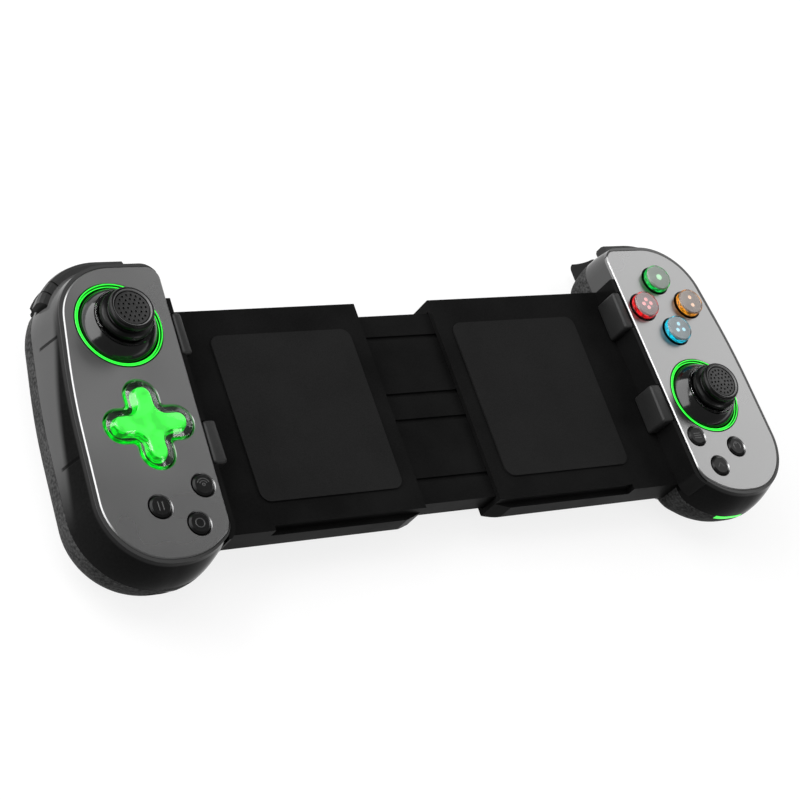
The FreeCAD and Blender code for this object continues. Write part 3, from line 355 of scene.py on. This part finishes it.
plate_metal = moulded("satin_plate_metal", grey(0.25), grey(0.29), 0.26, 0.32, grain=5000.0, patch=25.0,
                      depth=0.0002, scuffs=0.0, Metallic=1.0)
smoky_shell = smoky_finish()
grip_plastic = moulded("grained_grip_plastic", grey(0.012), grey(0.085), 0.5, 0.65, grain=1300.0,
                       depth=0.4, Specular_IOR_Level=0.02)
bridge_plastic = moulded("black_bridge_plastic", grey(0.004), grey(0.008), 0.34, 0.46, grain=4000.0,
                         depth=0.02, Specular_IOR_Level=0.015)
jaw_plastic = moulded("black_jaw_plastic", grey(0.004), grey(0.007), 0.22, 0.34, grain=4000.0,
                      depth=0.01, Specular_IOR_Level=0.04)
pad_rubber = moulded("grey_jaw_rubber", grey(0.01), grey(0.018), 0.4, 0.52, grain=3500.0, depth=0.03)
back_rubber = moulded("black_sleeve_rubber", grey(0.006), grey(0.011), 0.6, 0.75, grain=3000.0,
                      depth=0.05, Specular_IOR_Level=0.08)
stick_rubber = moulded("black_stick_rubber", grey(0.001), grey(0.003), 0.24, 0.34, grain=5000.0,
                       depth=0.012, Specular_IOR_Level=0.2)
# Paler rubber on the cap rim's inner edge: a painted highlight.
painted_edge_highlight = moulded("painted_edge_highlight_rubber", grey(0.1), grey(0.16), 0.3, 0.4, grain=4500.0, depth=0.01)
# Disc rubber, paler than the cap's: painted light on the disc's upward face.
disc_rubber = moulded("disc_rubber_painted_light", grey(0.018), grey(0.036), 0.32, 0.44, grain=4500.0, depth=0.02)
dome_gloss = moulded("dark_dome_gloss", grey(0.002), grey(0.005), 0.12, 0.2, grain=1500.0, depth=0.004,
                     Specular_IOR_Level=0.4, Coat_Weight=0.3, Coat_Roughness=0.08)
key_plastic = moulded("black_key_plastic", grey(0.004), grey(0.008), 0.28, 0.4, grain=4500.0,
                      depth=0.015, Specular_IOR_Level=0.18)
bumper_satin = moulded("dark_bumper_satin", grey(0.013), grey(0.022), 0.3, 0.4, grain=4500.0,
                       depth=0.015, Specular_IOR_Level=0.25)
trigger_satin = moulded("black_trigger_satin", grey(0.004), grey(0.008), 0.36, 0.48, grain=3800.0,
                        depth=0.03, Specular_IOR_Level=0.12)
screw_steel = moulded("dark_screw_steel", grey(0.2), grey(0.3), 0.3, 0.42, grain=6000.0,
                      depth=0.01, Metallic=1.0)
spring_steel = moulded("spring_steel", grey(0.45), grey(0.55), 0.22, 0.32, grain=5000.0,
                       depth=0.01, Metallic=1.0)
board_green = moulded("circuit_board_green", (0.004, 0.05, 0.02), (0.008, 0.08, 0.03), 0.3, 0.4,
                      grain=1200.0)
mat_silicone = moulded("grey_mat_silicone", grey(0.3), grey(0.38), 0.45, 0.55, grain=2000.0, depth=0.02)
cell_wrap = moulded("silver_cell_wrap", grey(0.4), grey(0.5), 0.25, 0.4, grain=300.0,
                    depth=0.1, Metallic=0.7)
ring_wall = moulded("dark_ring_wall", grey(0.004), grey(0.008), 0.2, 0.3, grain=3000.0, depth=0.01)
green_light = glowing("green_ring_light", GREEN, 1.0, dim=0.9, scale=300.0)
bar_light = glowing("green_bar_light", GREEN, 1.0, dim=0.9, scale=300.0)
collar_clear = clear("clear_collar", (0.6, 0.65, 0.6), 0.03, 0.004)
cap_clear = clear("clear_cap", grey(0.97), 0.03, 0.006)

FINISHES = {
    "faceplate": plate_metal, "shell": smoky_shell, "grip": grip_plastic, "sleeve": bridge_plastic,
    "sleeve_pad": back_rubber, "jaw": jaw_plastic, "jaw_pads": pad_rubber, "ring_light": green_light,
    "board": board_green, "key_mat": mat_silicone, "stick_base": dome_gloss, "case_screws": screw_steel,
    "shoulder_pins": spring_steel, "bumper": bumper_satin, "trigger": trigger_satin,
    "stick_gimbal": key_plastic, "stick_dome": dome_gloss, "stick_collar": collar_clear,
    "stick_cap": stick_rubber, "button_upper": key_plastic, "button_outer": key_plastic,
    "button_lower": key_plastic, "spring": spring_steel, "bridge_tongue": bridge_plastic,
    "dpad_cap": green_light, "dpad_rocker": key_plastic, "dpad_post": key_plastic, "battery": cell_wrap,
    "charging_port": spring_steel, "light_bar": bar_light,
    "face_button_top": cap_clear, "face_button_left": cap_clear, "face_button_right": cap_clear,
    "face_button_bottom": cap_clear,
}

for name, node in nodes.items():
    kind = name.removeprefix("left_").removeprefix("right_")
    for slot in node.material_slots:
        slot.material = FINISHES[kind]


# Meshes

ON_AXIS = 1e-6


def meshed(work, name):
    """Mesh from a work mesh, which is freed."""
    mesh = bpy.data.meshes.new(name)
    work.to_mesh(mesh)
    work.free()
    return mesh


def to_metres(mesh):
    """Turn a mesh in millimetres to metres and shade it smooth."""
    mesh.transform(Matrix.Scale(MM, 4))
    for polygon in mesh.polygons:
        polygon.use_smooth = True


def placed(name, mesh, body, replaces=None):
    """Object from a mesh in metres, ready on its body, or on none yet."""
    piece = bpy.data.objects.new(name, mesh)
    bpy.context.scene.collection.objects.link(piece)
    if body:
        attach(piece, body)
    if replaces:
        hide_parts(replaces)
    return piece


def finished(name, mesh, body, finishes, replaces=None, sharp=35.0):
    """Object from a mesh in millimetres, with its finishes and with edges sharper than an angle kept."""
    to_metres(mesh)
    mesh.set_sharp_from_angle(angle=math.radians(sharp))
    for finish in finishes:
        mesh.materials.append(finish)
    return placed(name, mesh, body, replaces)


def walls(work, rings, zones=None):
    """Faces between closed rings of the same count; zones number the finishes."""
    for i, (lower, upper) in enumerate(zip(rings, rings[1:])):
        for step in range(len(lower)):
            onward = (step + 1) % len(lower)
            face = work.faces.new((lower[step], lower[onward], upper[onward], upper[step]))
            face.material_index = zones[i] if zones else 0


def turned(profile, centre, segments=96, zones=None, shape=None):
    """Closed mesh of a (radius, height) profile turned round an upright axis; zones number the finishes."""
    work = bmesh.new()
    rings = []
    for radius, height in profile:
        if radius < ON_AXIS:
            rings.append([work.verts.new((centre[0], centre[1], height))] * segments)
            continue
        ring = []
        for step in range(segments):
            angle = 2 * math.pi * step / segments
            reach = shape(radius, angle) if shape else radius
            ring.append(work.verts.new((centre[0] + reach * math.cos(angle),
                                        centre[1] + reach * math.sin(angle), height)))
        rings.append(ring)
    count = len(rings)
    closed = profile[0][0] > ON_AXIS
    for i in range(count if closed else count - 1):
        lower = rings[i]
        upper = rings[(i + 1) % count]
        for step in range(segments):
            onward = (step + 1) % segments
            corners = []
            for vert in (lower[step], lower[onward], upper[onward], upper[step]):
                if vert not in corners:
                    corners.append(vert)
            if len(corners) > 2:
                face = work.faces.new(corners)
                face.material_index = zones[i] if zones else 0
    bmesh.ops.recalc_face_normals(work, faces=work.faces)
    return meshed(work, "turned")


def stacked(outlines, zones=None):
    """Closed mesh through level outlines of the same count, each a list of points; both ends capped."""
    work = bmesh.new()
    rings = [[work.verts.new(point) for point in outline] for outline in outlines]
    walls(work, rings, zones)
    for end in (0, -1):
        for corners in tessellate_polygon([[Vector(point) for point in outlines[end]]]):
            face = work.faces.new([rings[end][corner] for corner in corners])
            face.material_index = zones[end] if zones else 0
    bmesh.ops.recalc_face_normals(work, faces=work.faces)
    return meshed(work, "stacked")


# Sticks

CAP_RIM = 0.5
CAP_FOOT = 11.15


def thumb_cap(side):
    """Rubber cap: foot, waist, round rim with paler rubber on its inner edge as a painted highlight, and
    the sunk thumb disc inside it in paler rubber as painted light on its face.
    """
    node = side + "_stick_cap"
    low, high = span(node)
    centre = middle(node)
    top = high.z - CAP_RIM
    foot = low.z + CAP_FOOT
    body = [
        (0.0, low.z), (2.0, low.z), (2.0, foot), (7.0, foot), (7.2, foot + 0.2),
        (7.2, top - 3.2), (7.1, top - 2.95), (6.7, top - 2.7), (6.1, top - 2.52), (5.7, top - 2.42),
        (5.6, top - 2.3), (5.6, top - 1.95), (5.7, top - 1.75), (5.95, top - 1.55), (6.1, top - 1.35),
        (6.2, top - 1.1), (6.2, top - 0.35), (6.17, top - 0.2), (6.05, top + 0.1), (5.9, top + 0.3),
        (5.7, top + 0.44), (5.5, top + 0.48),
    ]
    # The rim's inner edge takes the paler rubber: a painted highlight.
    wear_and_highlight = [(5.3, top + 0.46), (5.16, top + 0.4), (5.04, top + 0.28)]
    groove = [(4.95, top + 0.05), (4.9, top - 0.12), (4.82, top - 0.18), (4.75, top - 0.12)]
    # The disc takes the paler rubber: painted light on its upward face.
    disc = [(4.65, top - 0.02), (4.4, top + 0.02), (3.3, top + 0.06), (2.2, top + 0.1), (1.1, top + 0.12),
            (0.0, top + 0.13)]
    zones = [0] * len(body) + [2] * len(wear_and_highlight) + [0] * len(groove) + [1] * len(disc)
    mesh = turned(body + wear_and_highlight + groove + disc, centre, 128, zones)
    finishes = [stick_rubber, disc_rubber, painted_edge_highlight]
    finished(side + "_thumb_cap", mesh, side + "_stick_cap", finishes, node)
    return centre, top


DIMPLE_RINGS = (1, 2, 3)
DIMPLE_STEP = 1.25
DIMPLE_DOTS = 6
DISC_CROWN = 0.12
CROWN_REACH = 4.2


def dimple_rings():
    """Node tree that lays dimples on rings round a centre, each with as many more as the first ring has."""
    tree = bpy.data.node_groups.new("thumb_dimples", "GeometryNodeTree")
    for name, kind in (("Dimple", "Object"), ("Centre", "Vector"), ("Ring Step", "Float"),
                       ("Crown", "Float"), ("Dots", "Int"), ("Finish", "Material")):
        tree.interface.new_socket(name, in_out="INPUT", socket_type="NodeSocket" + kind)
    tree.interface.new_socket("Geometry", in_out="OUTPUT", socket_type="NodeSocketGeometry")
    given = tree.nodes.new("NodeGroupInput").outputs
    leave = tree.nodes.new("NodeGroupOutput")
    join = tree.nodes.new("GeometryNodeJoinGeometry")
    for ring in DIMPLE_RINGS:
        circle = tree.nodes.new("GeometryNodeMeshCircle")
        feed(tree, circle.inputs["Vertices"], times(tree, given["Dots"], float(ring)))
        feed(tree, circle.inputs["Radius"], times(tree, given["Ring Step"], float(ring)))
        lift = tree.nodes.new("ShaderNodeCombineXYZ")
        feed(tree, lift.inputs["Z"], times(tree, given["Crown"], 1.0 - (ring / CROWN_REACH) ** 2))
        shift = tree.nodes.new("GeometryNodeTransform")
        feed(tree, shift.inputs["Geometry"], circle.outputs["Mesh"])
        feed(tree, shift.inputs["Translation"], lift.outputs["Vector"])
        feed(tree, join.inputs["Geometry"], shift.outputs["Geometry"])
    shift = tree.nodes.new("GeometryNodeTransform")
    feed(tree, shift.inputs["Geometry"], join.outputs["Geometry"])
    feed(tree, shift.inputs["Translation"], given["Centre"])
    info = tree.nodes.new("GeometryNodeObjectInfo")
    feed(tree, info.inputs["Object"], given["Dimple"])
    dots = tree.nodes.new("GeometryNodeInstanceOnPoints")
    feed(tree, dots.inputs["Points"], shift.outputs["Geometry"])
    feed(tree, dots.inputs["Instance"], info.outputs["Geometry"])
    realize = tree.nodes.new("GeometryNodeRealizeInstances")
    feed(tree, realize.inputs["Geometry"], dots.outputs["Instances"])
    paint = tree.nodes.new("GeometryNodeSetMaterial")
    feed(tree, paint.inputs["Geometry"], realize.outputs["Geometry"])
    feed(tree, paint.inputs["Material"], given["Finish"])
    feed(tree, leave.inputs["Geometry"], paint.outputs["Geometry"])
    return tree


def laid_out(tree, values):
    """Plain mesh of a node tree with its named inputs set."""
    holder = bpy.data.objects.new("holder", bpy.data.meshes.new("holder"))
    bpy.context.scene.collection.objects.link(holder)
    modifier = holder.modifiers.new("layout", "NODES")
    modifier.node_group = tree
    for item in tree.interface.items_tree:
        if item.item_type == "SOCKET" and item.in_out == "INPUT" and item.name in values:
            modifier[item.identifier] = values[item.name]
    bpy.context.view_layer.update()
    result = bpy.data.meshes.new_from_object(holder.evaluated_get(bpy.context.evaluated_depsgraph_get()))
    bpy.data.objects.remove(holder)
    return result


DIMPLES = dimple_rings()
# Near-black discs where the dimples' pits are: painted shade in the pits.
dimple_shade = moulded("painted_dimple_shade_rubber", grey(0.001), grey(0.002), 0.6, 0.7, grain=5000.0,
                      Specular_IOR_Level=0.0)
DIMPLE_LIP = [(0.29, 0.0), (0.29, 0.03), (0.34, 0.05), (0.44, 0.0)]
DIMPLE_SHADE_DISC = [(0.0, 0.012), (0.29, 0.012), (0.29, -0.02), (0.0, -0.02)]


def dimples(side, centre, top, part, profile, finish):
    """One part of every dimple on a thumb disc, laid out as a single mesh."""
    mesh = turned(profile, (0, 0), 14)
    to_metres(mesh)
    one = bpy.data.objects.new("one_dimple", mesh)
    mesh = laid_out(DIMPLES, {
        "Dimple": one, "Centre": (centre.x * MM, centre.y * MM, top * MM), "Ring Step": DIMPLE_STEP * MM,
        "Crown": DISC_CROWN * MM, "Dots": DIMPLE_DOTS, "Finish": finish,
    })
    bpy.data.objects.remove(one)
    placed(side + "_thumb_dimple_" + part, mesh, side + "_stick_cap")


for side in SIDES:
    centre, top = thumb_cap(side)
    dimples(side, centre, top, "lips", DIMPLE_LIP, disc_rubber)
    # The dimples' pits are near-black discs: painted shade.
    dimples(side, centre, top, "holes", DIMPLE_SHADE_DISC, dimple_shade)


# Light rings

RING_LIP = 11.99
RING_FLANGE = 12.7
KEY_CLEARANCE = 3.75


def light_ring(side):
    """Light guide round the stick: a thin lit lip, a dark channel and a lit bead on its inner side."""
    node = side + "_ring_light"
    centre = middle(side + "_stick_dome")
    keys = [middle(side + "_button_" + name) for name in ("upper", "outer", "lower")]
    profile = [
        (11.4, FACE - 1.9), (RING_FLANGE, FACE - 1.9), (RING_FLANGE, FACE - 1.3), (RING_LIP, FACE - 1.3),
        (RING_LIP, FACE + 0.05), (11.92, FACE + 0.15), (11.76, FACE + 0.15), (11.68, FACE + 0.05),
        (11.64, FACE - 0.8), (11.55, FACE - 0.86), (11.38, FACE - 0.3), (11.25, FACE - 0.12),
        (11.12, FACE - 0.1), (11.1, FACE - 0.3), (11.2, FACE - 1.0),
    ]
    zones = [1, 1, 1, 1, 0, 0, 0, 1, 1, 0, 0, 0, 0, 1, 1]

    def clear_of_keys(radius, angle):
        """Radius of the ring, without its flange where a small button is near."""
        if radius < RING_FLANGE:
            return radius
        x = centre.x + radius * math.cos(angle)
        y = centre.y + radius * math.sin(angle)
        near = min(math.hypot(x - key.x, y - key.y) for key in keys)
        return radius if near > KEY_CLEARANCE else RING_LIP

    mesh = turned(profile, centre, 180, zones, clear_of_keys)
    finishes = [green_light, ring_wall]
    finished(side + "_light_ring", mesh, side + "_handle", finishes, node, 25.0)


for side in SIDES:
    light_ring(side)


# Direction pad

PAD_ARM = 4.35
PAD_REACH = 12.1
PAD_NOTCH = 1.1
LEAST_NOTCH = 0.4


def cross(spread, height, steps=10):
    """Outline of the direction pad, moved out by a spread."""
    centre = middle("dpad_cap")
    arm = PAD_ARM + spread
    fillet = max(PAD_NOTCH - spread, LEAST_NOTCH)
    reach = PAD_REACH - PAD_ARM
    points = []
    for quarter in range(4):
        local = []
        for step in range(steps + 1):
            angle = math.radians(-90 + 180 * step / steps)
            local.append((reach + arm * math.cos(angle), arm * math.sin(angle)))
        for step in range(steps // 2 + 1):
            angle = math.radians(-90 - 90 * step / (steps // 2))
            local.append((arm + fillet + fillet * math.cos(angle), arm + fillet + fillet * math.sin(angle)))
        turn = Matrix.Rotation(math.radians(90 * quarter), 2)
        for x, y in local:
            spot = turn @ Vector((x, y))
            points.append((centre.x + spot.x, centre.y + spot.y, height))
    return points


pad_clear = clear("clear_direction_pad", (0.93, 0.99, 0.94), 0.045, 0.001)
pad_glow = glowing("green_direction_glow", (0.06, 1.0, 0.08), 1.0, dim=0.55, scale=260.0)
pad_side = glowing("green_direction_side", (0.0, 0.9, 0.02), 0.95, dim=0.15, scale=650.0)
# Near black: painted shade in the gap round the direction pad and at the face buttons' feet, and the plain
# dark of the buttons' flanges under the plate.
dark_pocket_shade = moulded("dark_pad_pocket_shade", grey(0.003), grey(0.006), 0.3, 0.45, grain=2500.0,
                   Specular_IOR_Level=0.15)


def direction_pad():
    """Clear cross with broad bevels over a lit core, with its skirt round its foot in near black, painted
    shade in the gap round the pad.
    """
    top = span("dpad_cap")[1].z
    shell = [
        cross(0.0, FACE - 2.3), cross(0.0, top - 1.4), cross(-0.12, top - 1.2), cross(-2.1, top - 0.15),
        cross(-2.25, top - 0.04), cross(-2.45, top),
    ]
    finished("direction_crystal", stacked(shell), "dpad", [pad_clear], "dpad_cap", 20.0)
    core = [cross(-2.2, FACE - 2.2), cross(-2.3, top - 0.75), cross(-2.7, top - 0.4)]
    core = stacked(core, [1, 0])
    finished("direction_glow", core, "dpad", [pad_glow, pad_side], None, 20.0)
    # The skirt is near black: painted shade in the gap round the pad.
    skirt = [cross(0.95, FACE - 3.3), cross(0.95, FACE - 2.35), cross(0.4, FACE - 2.35)]
    finished("direction_skirt", stacked(skirt), "dpad", [dark_pocket_shade], "dpad_cap", 20.0)


direction_pad()


# Clamp pads

PAD_ROUNDING = 0.9
ROUNDED_ANGLE = 0.6


def clamp_pads(side):
    """Rubber pads of a clamp jaw with their moulded edges rounded."""
    node = side + "_jaw_pads"
    work = bmesh.new()
    work.from_mesh(nodes[node].data)
    work.transform(nodes[node].matrix_world)
    bmesh.ops.scale(work, vec=(1 / MM, 1 / MM, 1 / MM), verts=work.verts)
    bmesh.ops.remove_doubles(work, verts=work.verts, dist=0.001)
    bmesh.ops.dissolve_limit(work, angle_limit=math.radians(1), verts=work.verts, edges=work.edges)
    sharp = [edge for edge in work.edges
             if len(edge.link_faces) == 2 and edge.calc_face_angle_signed() > ROUNDED_ANGLE]
    bmesh.ops.bevel(work, geom=sharp, offset=PAD_ROUNDING, segments=4, profile=0.5, affect="EDGES",
                    clamp_overlap=True)
    bmesh.ops.triangulate(work, faces=work.faces)
    mesh = meshed(work, side + "_clamp_pads")
    finished(side + "_clamp_pads", mesh, side + "_handle", [pad_rubber], node, 30.0)


for side in SIDES:
    clamp_pads(side)


# Return springs

SPRING_WIRE = 0.5
SPRING_TURNS = 30
CLOSED_TURNS = 2
CLOSED_PITCH = SPRING_WIRE * 1.1


def return_spring(side, steps=20, around=8):
    """Coil spring from bridge to sleeve, with closed end turns; the left one is turned half round."""
    node = side + "_spring"
    low, high = span(node)
    centre = middle(node)
    away = 1 if side == "right" else -1
    inner = low.x if side == "right" else high.x
    length = high.x - low.x
    radius = (high.z - low.z - SPRING_WIRE) / 2
    open_length = length - SPRING_WIRE - 2 * CLOSED_TURNS * CLOSED_PITCH
    open_pitch = open_length / (SPRING_TURNS - 2 * CLOSED_TURNS)
    work = bmesh.new()
    rings = []
    along = SPRING_WIRE / 2
    for step in range(SPRING_TURNS * steps + 1):
        turn = step / steps
        pitch = open_pitch if CLOSED_TURNS < turn <= SPRING_TURNS - CLOSED_TURNS else CLOSED_PITCH
        along += pitch / steps if step else 0.0
        angle = turn * math.tau
        outward = Vector((0, away * math.cos(angle), math.sin(angle)))
        place = Vector((inner + away * along, centre.y, centre.z)) + outward * radius
        rise = math.cos(angle) * radius
        forward = Vector((away * pitch / math.tau, -away * math.sin(angle) * radius, rise))
        sideways = forward.normalized().cross(outward)
        ring = []
        for corner in range(around):
            bearing = corner * math.tau / around
            offset = outward * math.cos(bearing) + sideways * math.sin(bearing)
            ring.append(work.verts.new(place + offset * SPRING_WIRE / 2))
        rings.append(ring)
    walls(work, rings)
    work.faces.new(rings[0])
    work.faces.new(rings[-1])
    bmesh.ops.recalc_face_normals(work, faces=work.faces)
    mesh = meshed(work, side + "_return_spring")
    piece = finished(side + "_return_spring", mesh, None, [spring_steel], node, 60.0)
    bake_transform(piece)


for side in SIDES:
    return_spring(side)


# Face buttons

BUTTON_LIGHTS = {"top": (0.0, 0.62, 0.08), "left": (0.9, 0.01, 0.015), "right": (0.95, 0.35, 0.01),
                 "bottom": (0.0, 0.62, 0.85)}
PIPS = {"top": 1, "right": 2, "bottom": 3, "left": 4}
PIP_RING = 1.35
LONE_PIP = 1.0
SMALL_PIP = 0.62


def face_button(place):
    """Clear cap over a lit coloured cup whose foot is near black as painted shade, with a frosted layer and
    lit pips under its top.
    """
    node = "face_button_" + place
    low, high = span(node)
    centre = middle(node)
    top = high.z
    light = BUTTON_LIGHTS[place]
    pale = tuple(0.45 + 0.5 * value for value in light)
    tint = tuple(0.33 + 0.08 * value for value in light)
    shade = tuple(0.9 * value for value in tint)
    cup_light = glowing(place + "_button_light", light, 0.95, dim=0.02, scale=800.0)
    pip_light = glowing(place + "_button_mark", pale, 0.9, dim=0.9)
    frosted = moulded(place + "_button_frost", shade, tint, 0.3, 0.4, depth=0.01)
    cap = [
        (0.0, FACE - 1.25), (4.25, FACE - 1.25), (4.25, top - 0.5), (4.2, top - 0.3), (4.05, top - 0.1),
        (3.85, top), (0.0, top),
    ]
    cap = turned(cap, centre, 96)
    finished(place + "_button_cap", cap, node, [cap_clear], node, 25.0)
    cup = [
        (0.0, FACE - 1.2), (4.0, FACE - 1.2), (4.0, FACE + 0.35), (4.0, top - 1.0), (3.9, top - 0.9),
        (0.0, top - 0.9),
    ]
    # The cup's lower band, from under the plate to just above it, is near black: painted shade at the
    # button's foot.
    cup = turned(cup, centre, 64, [1, 1, 0, 0, 0, 0])
    finished(place + "_button_cup", cup, node, [cup_light, dark_pocket_shade])
    frost = [
        (0.0, top - 0.85), (3.75, top - 0.85), (3.8, top - 0.8), (3.8, top - 0.35), (3.7, top - 0.3),
        (0.0, top - 0.3),
    ]
    finished(place + "_button_frost", turned(frost, centre, 64), node, [frosted])
    foot = [
        (0.0, low.z), (1.5, low.z), (1.5, FACE - 2.5), (4.75, FACE - 2.5), (4.75, FACE - 1.3),
        (0.0, FACE - 1.3),
    ]
    finished(place + "_button_foot", turned(foot, centre, 48), node, [dark_pocket_shade], node)
    pips = PIPS[place]
    size = LONE_PIP if pips == 1 else SMALL_PIP
    reach = 0.0 if pips == 1 else PIP_RING
    pip = [
        (0.0, top - 0.28), (size, top - 0.28), (size, top - 0.18), (size - 0.08, top - 0.14),
        (0.0, top - 0.14),
    ]
    for number in range(pips):
        angle = math.radians(90 + 360 * number / pips)
        spot = (centre.x + reach * math.cos(angle), centre.y + reach * math.sin(angle))
        finished(place + "_button_pip_" + str(number + 1), turned(pip, spot, 32), node, [pip_light])


for place in PIPS:
    face_button(place)


# Marks on the small buttons

MARK_WIDTH = 0.3
MARK_HEIGHT = 0.07
MARK_SINK = 0.01
MARK_SLOPE = 0.6


def strip(work, points, width, base, height):
    """Raised strip with sloped sides along a line of points."""
    left = []
    right = []
    for i, (x, y) in enumerate(points):
        back = Vector(points[max(i - 1, 0)])
        ahead = Vector(points[min(i + 1, len(points) - 1)])
        way = (ahead - back).normalized()
        side = Vector((-way.y, way.x)) * width / 2
        left.append((x + side.x, y + side.y, side))
        right.append((x - side.x, y - side.y, -side))
    top = base + height
    rows = []
    for line, reach, level in ((left, 1.0, base), (left, MARK_SLOPE, top), (right, MARK_SLOPE, top),
                               (right, 1.0, base)):
        rows.append([work.verts.new((x - side.x * (1 - reach), y - side.y * (1 - reach), level))
                     for x, y, side in line])
    for low, high in zip(rows, rows[1:] + rows[:1]):
        for i in range(len(points) - 1):
            work.faces.new((low[i], low[i + 1], high[i + 1], high[i]))
    for end in (0, -1):
        work.faces.new([row[end] for row in rows])


def arc(radius, start, end, steps=16):
    """Points on an arc round the origin, between two angles in degrees."""
    angles = [math.radians(start + (end - start) * i / steps) for i in range(steps + 1)]
    return [(radius * math.cos(angle), radius * math.sin(angle)) for angle in angles]


KEY_MARKS = {
    "left_button_upper": [arc(1.7, 20, 160), arc(1.05, 20, 160), arc(0.35, 0, 360, 12)],
    "left_button_outer": [[(x, -1.2), (x, 1.2)] for x in (-0.6, 0.6)],
    "left_button_lower": [arc(1.2, 0, 360, 28)],
    "right_button_upper": [[(-1.3, y), (1.3, y)] for y in (-0.7, 0.0, 0.7)],
    "right_button_outer": [arc(1.25, -50, 230), [(0, 0.5), (0, 1.5)]],
    "right_button_lower": [[(-1.1, -0.5), (0, 0.8), (1.1, -0.5)]],
}
# Paler grey on the raised key marks: a painted highlight.
mark_highlight = moulded("key_mark_painted_highlight", grey(0.05), grey(0.08), 0.2, 0.3, grain=4500.0, depth=0.01)


def key_marks():
    """Generic raised marks on the tops of the small buttons, paler than the keys as a painted highlight."""
    for node, lines in KEY_MARKS.items():
        centre = middle(node)
        base = span(node)[1].z - MARK_SINK
        work = bmesh.new()
        for line in lines:
            strip(work, [(centre.x + x, centre.y + y) for x, y in line], MARK_WIDTH, base, MARK_HEIGHT)
        bmesh.ops.remove_doubles(work, verts=work.verts, dist=0.001)
        bmesh.ops.recalc_face_normals(work, faces=work.faces)
        mesh = meshed(work, node + "_mark")
        finished(node + "_mark", mesh, node, [mark_highlight])


key_marks()


# Studio

FLOOR_REACH = 4.0
FLOOR_GLOW = 0.81
WORLD_GREY = 0.22
MIDDLE = (0, 0, 0.02)
LEFT_PLATE = (-0.09, 0, 0.027)
RIGHT_PLATE = (0.09, 0, 0.027)
PANELS = (
    ("soft_top", 130, 72, 1.3, 0.75, 0.75, 2.6, MIDDLE),
    ("left_wall", 152, 16, 1.2, 2.2, 0.85, 4.0, MIDDLE),
    ("left_glint", 138, 50, 1.0, 0.8, 0.2, 8.0, LEFT_PLATE),
    ("front_glint", -48, 44, 1.0, 0.6, 0.12, 7.0, LEFT_PLATE),
    ("plate_panel", 28, 36, 1.1, 1.0, 0.55, 1.85, RIGHT_PLATE),
)
CAMERA_PLACE = (-0.349947, -0.212209, 0.460052)
CAMERA_RIGHT = (0.81815, -0.31619, 0.48026)
CAMERA_UP = (0.06409, 0.88018, 0.47029)
CAMERA_BACK = (-0.57142, -0.35399, 0.74039)
CAMERA_LENS = 97.68
CAMERA_SENSOR = 36.0


def white_floor():
    """Pale sheet under the controller that reads white, keeps its soft shadow and is clear from below."""
    finish, tree, shader = new_finish("white_floor", Base_Color=grey(0.2), Roughness=0.9,
                                      Specular_IOR_Level=0.1, Emission_Color=grey(1.0))
    rays = tree.nodes.new("ShaderNodeLightPath").outputs
    seen = math_node(tree, "MAXIMUM", rays["Is Camera Ray"], rays["Is Glossy Ray"])
    seen = math_node(tree, "MAXIMUM", seen, rays["Is Transmission Ray"])
    feed(tree, shader.inputs["Emission Strength"], times(tree, seen, FLOOR_GLOW))
    under = tree.nodes.new("ShaderNodeNewGeometry").outputs["Backfacing"]
    feed(tree, shader.inputs["Alpha"], minus(tree, 1.0, under))
    corners = [(x * FLOOR_REACH, y * FLOOR_REACH, 0) for x, y in ((-1, -1), (1, -1), (1, 1), (-1, 1))]
    mesh = bpy.data.meshes.new("studio_floor")
    mesh.from_pydata(corners, [], [(0, 1, 2, 3)])
    mesh.materials.append(finish)
    floor = bpy.data.objects.new("studio_floor", mesh)
    bpy.context.scene.collection.objects.link(floor)


def panel(name, azimuth, elevation, distance, width, height, glow, aim):
    """Soft panel of a given glow, set by the direction it is seen in from what it lights."""
    turn = math.radians(azimuth)
    lift = math.radians(elevation)
    way = Vector((math.cos(lift) * math.cos(turn), math.cos(lift) * math.sin(turn), math.sin(lift)))
    place = Vector(aim) + way * distance
    data = bpy.data.lights.new(name, "AREA")
    data.shape = "RECTANGLE"
    data.size = width
    data.size_y = height
    data.energy = glow * math.pi * width * height
    light = bpy.data.objects.new(name, data)
    light.location = place
    light.rotation_euler = (Vector(aim) - place).to_track_quat("-Z", "Y").to_euler()
    bpy.context.scene.collection.objects.link(light)


def studio():
    """Even grey world and the soft panels."""
    world = bpy.data.worlds.new("studio_world")
    world.use_nodes = True
    background = world.node_tree.nodes["Background"]
    feed(world.node_tree, background.inputs["Color"], grey(WORLD_GREY))
    feed(world.node_tree, background.inputs["Strength"], 1.0)
    bpy.context.scene.world = world
    for values in PANELS:
        panel(*values)


def camera():
    """Camera that sees the controller as the photograph does."""
    data = bpy.data.cameras.new("photo_camera")
    data.sensor_width = CAMERA_SENSOR
    data.lens = CAMERA_LENS
    data.clip_start = 0.01
    data.clip_end = 20.0
    view = bpy.data.objects.new("photo_camera", data)
    turn = Matrix((CAMERA_RIGHT, CAMERA_UP, CAMERA_BACK)).transposed().to_4x4()
    view.matrix_world = Matrix.Translation(Vector(CAMERA_PLACE)) @ turn
    bpy.context.scene.collection.objects.link(view)
    bpy.context.scene.camera = view


white_floor()
studio()
camera()
bpy.context.scene.view_settings.view_transform = "Standard"
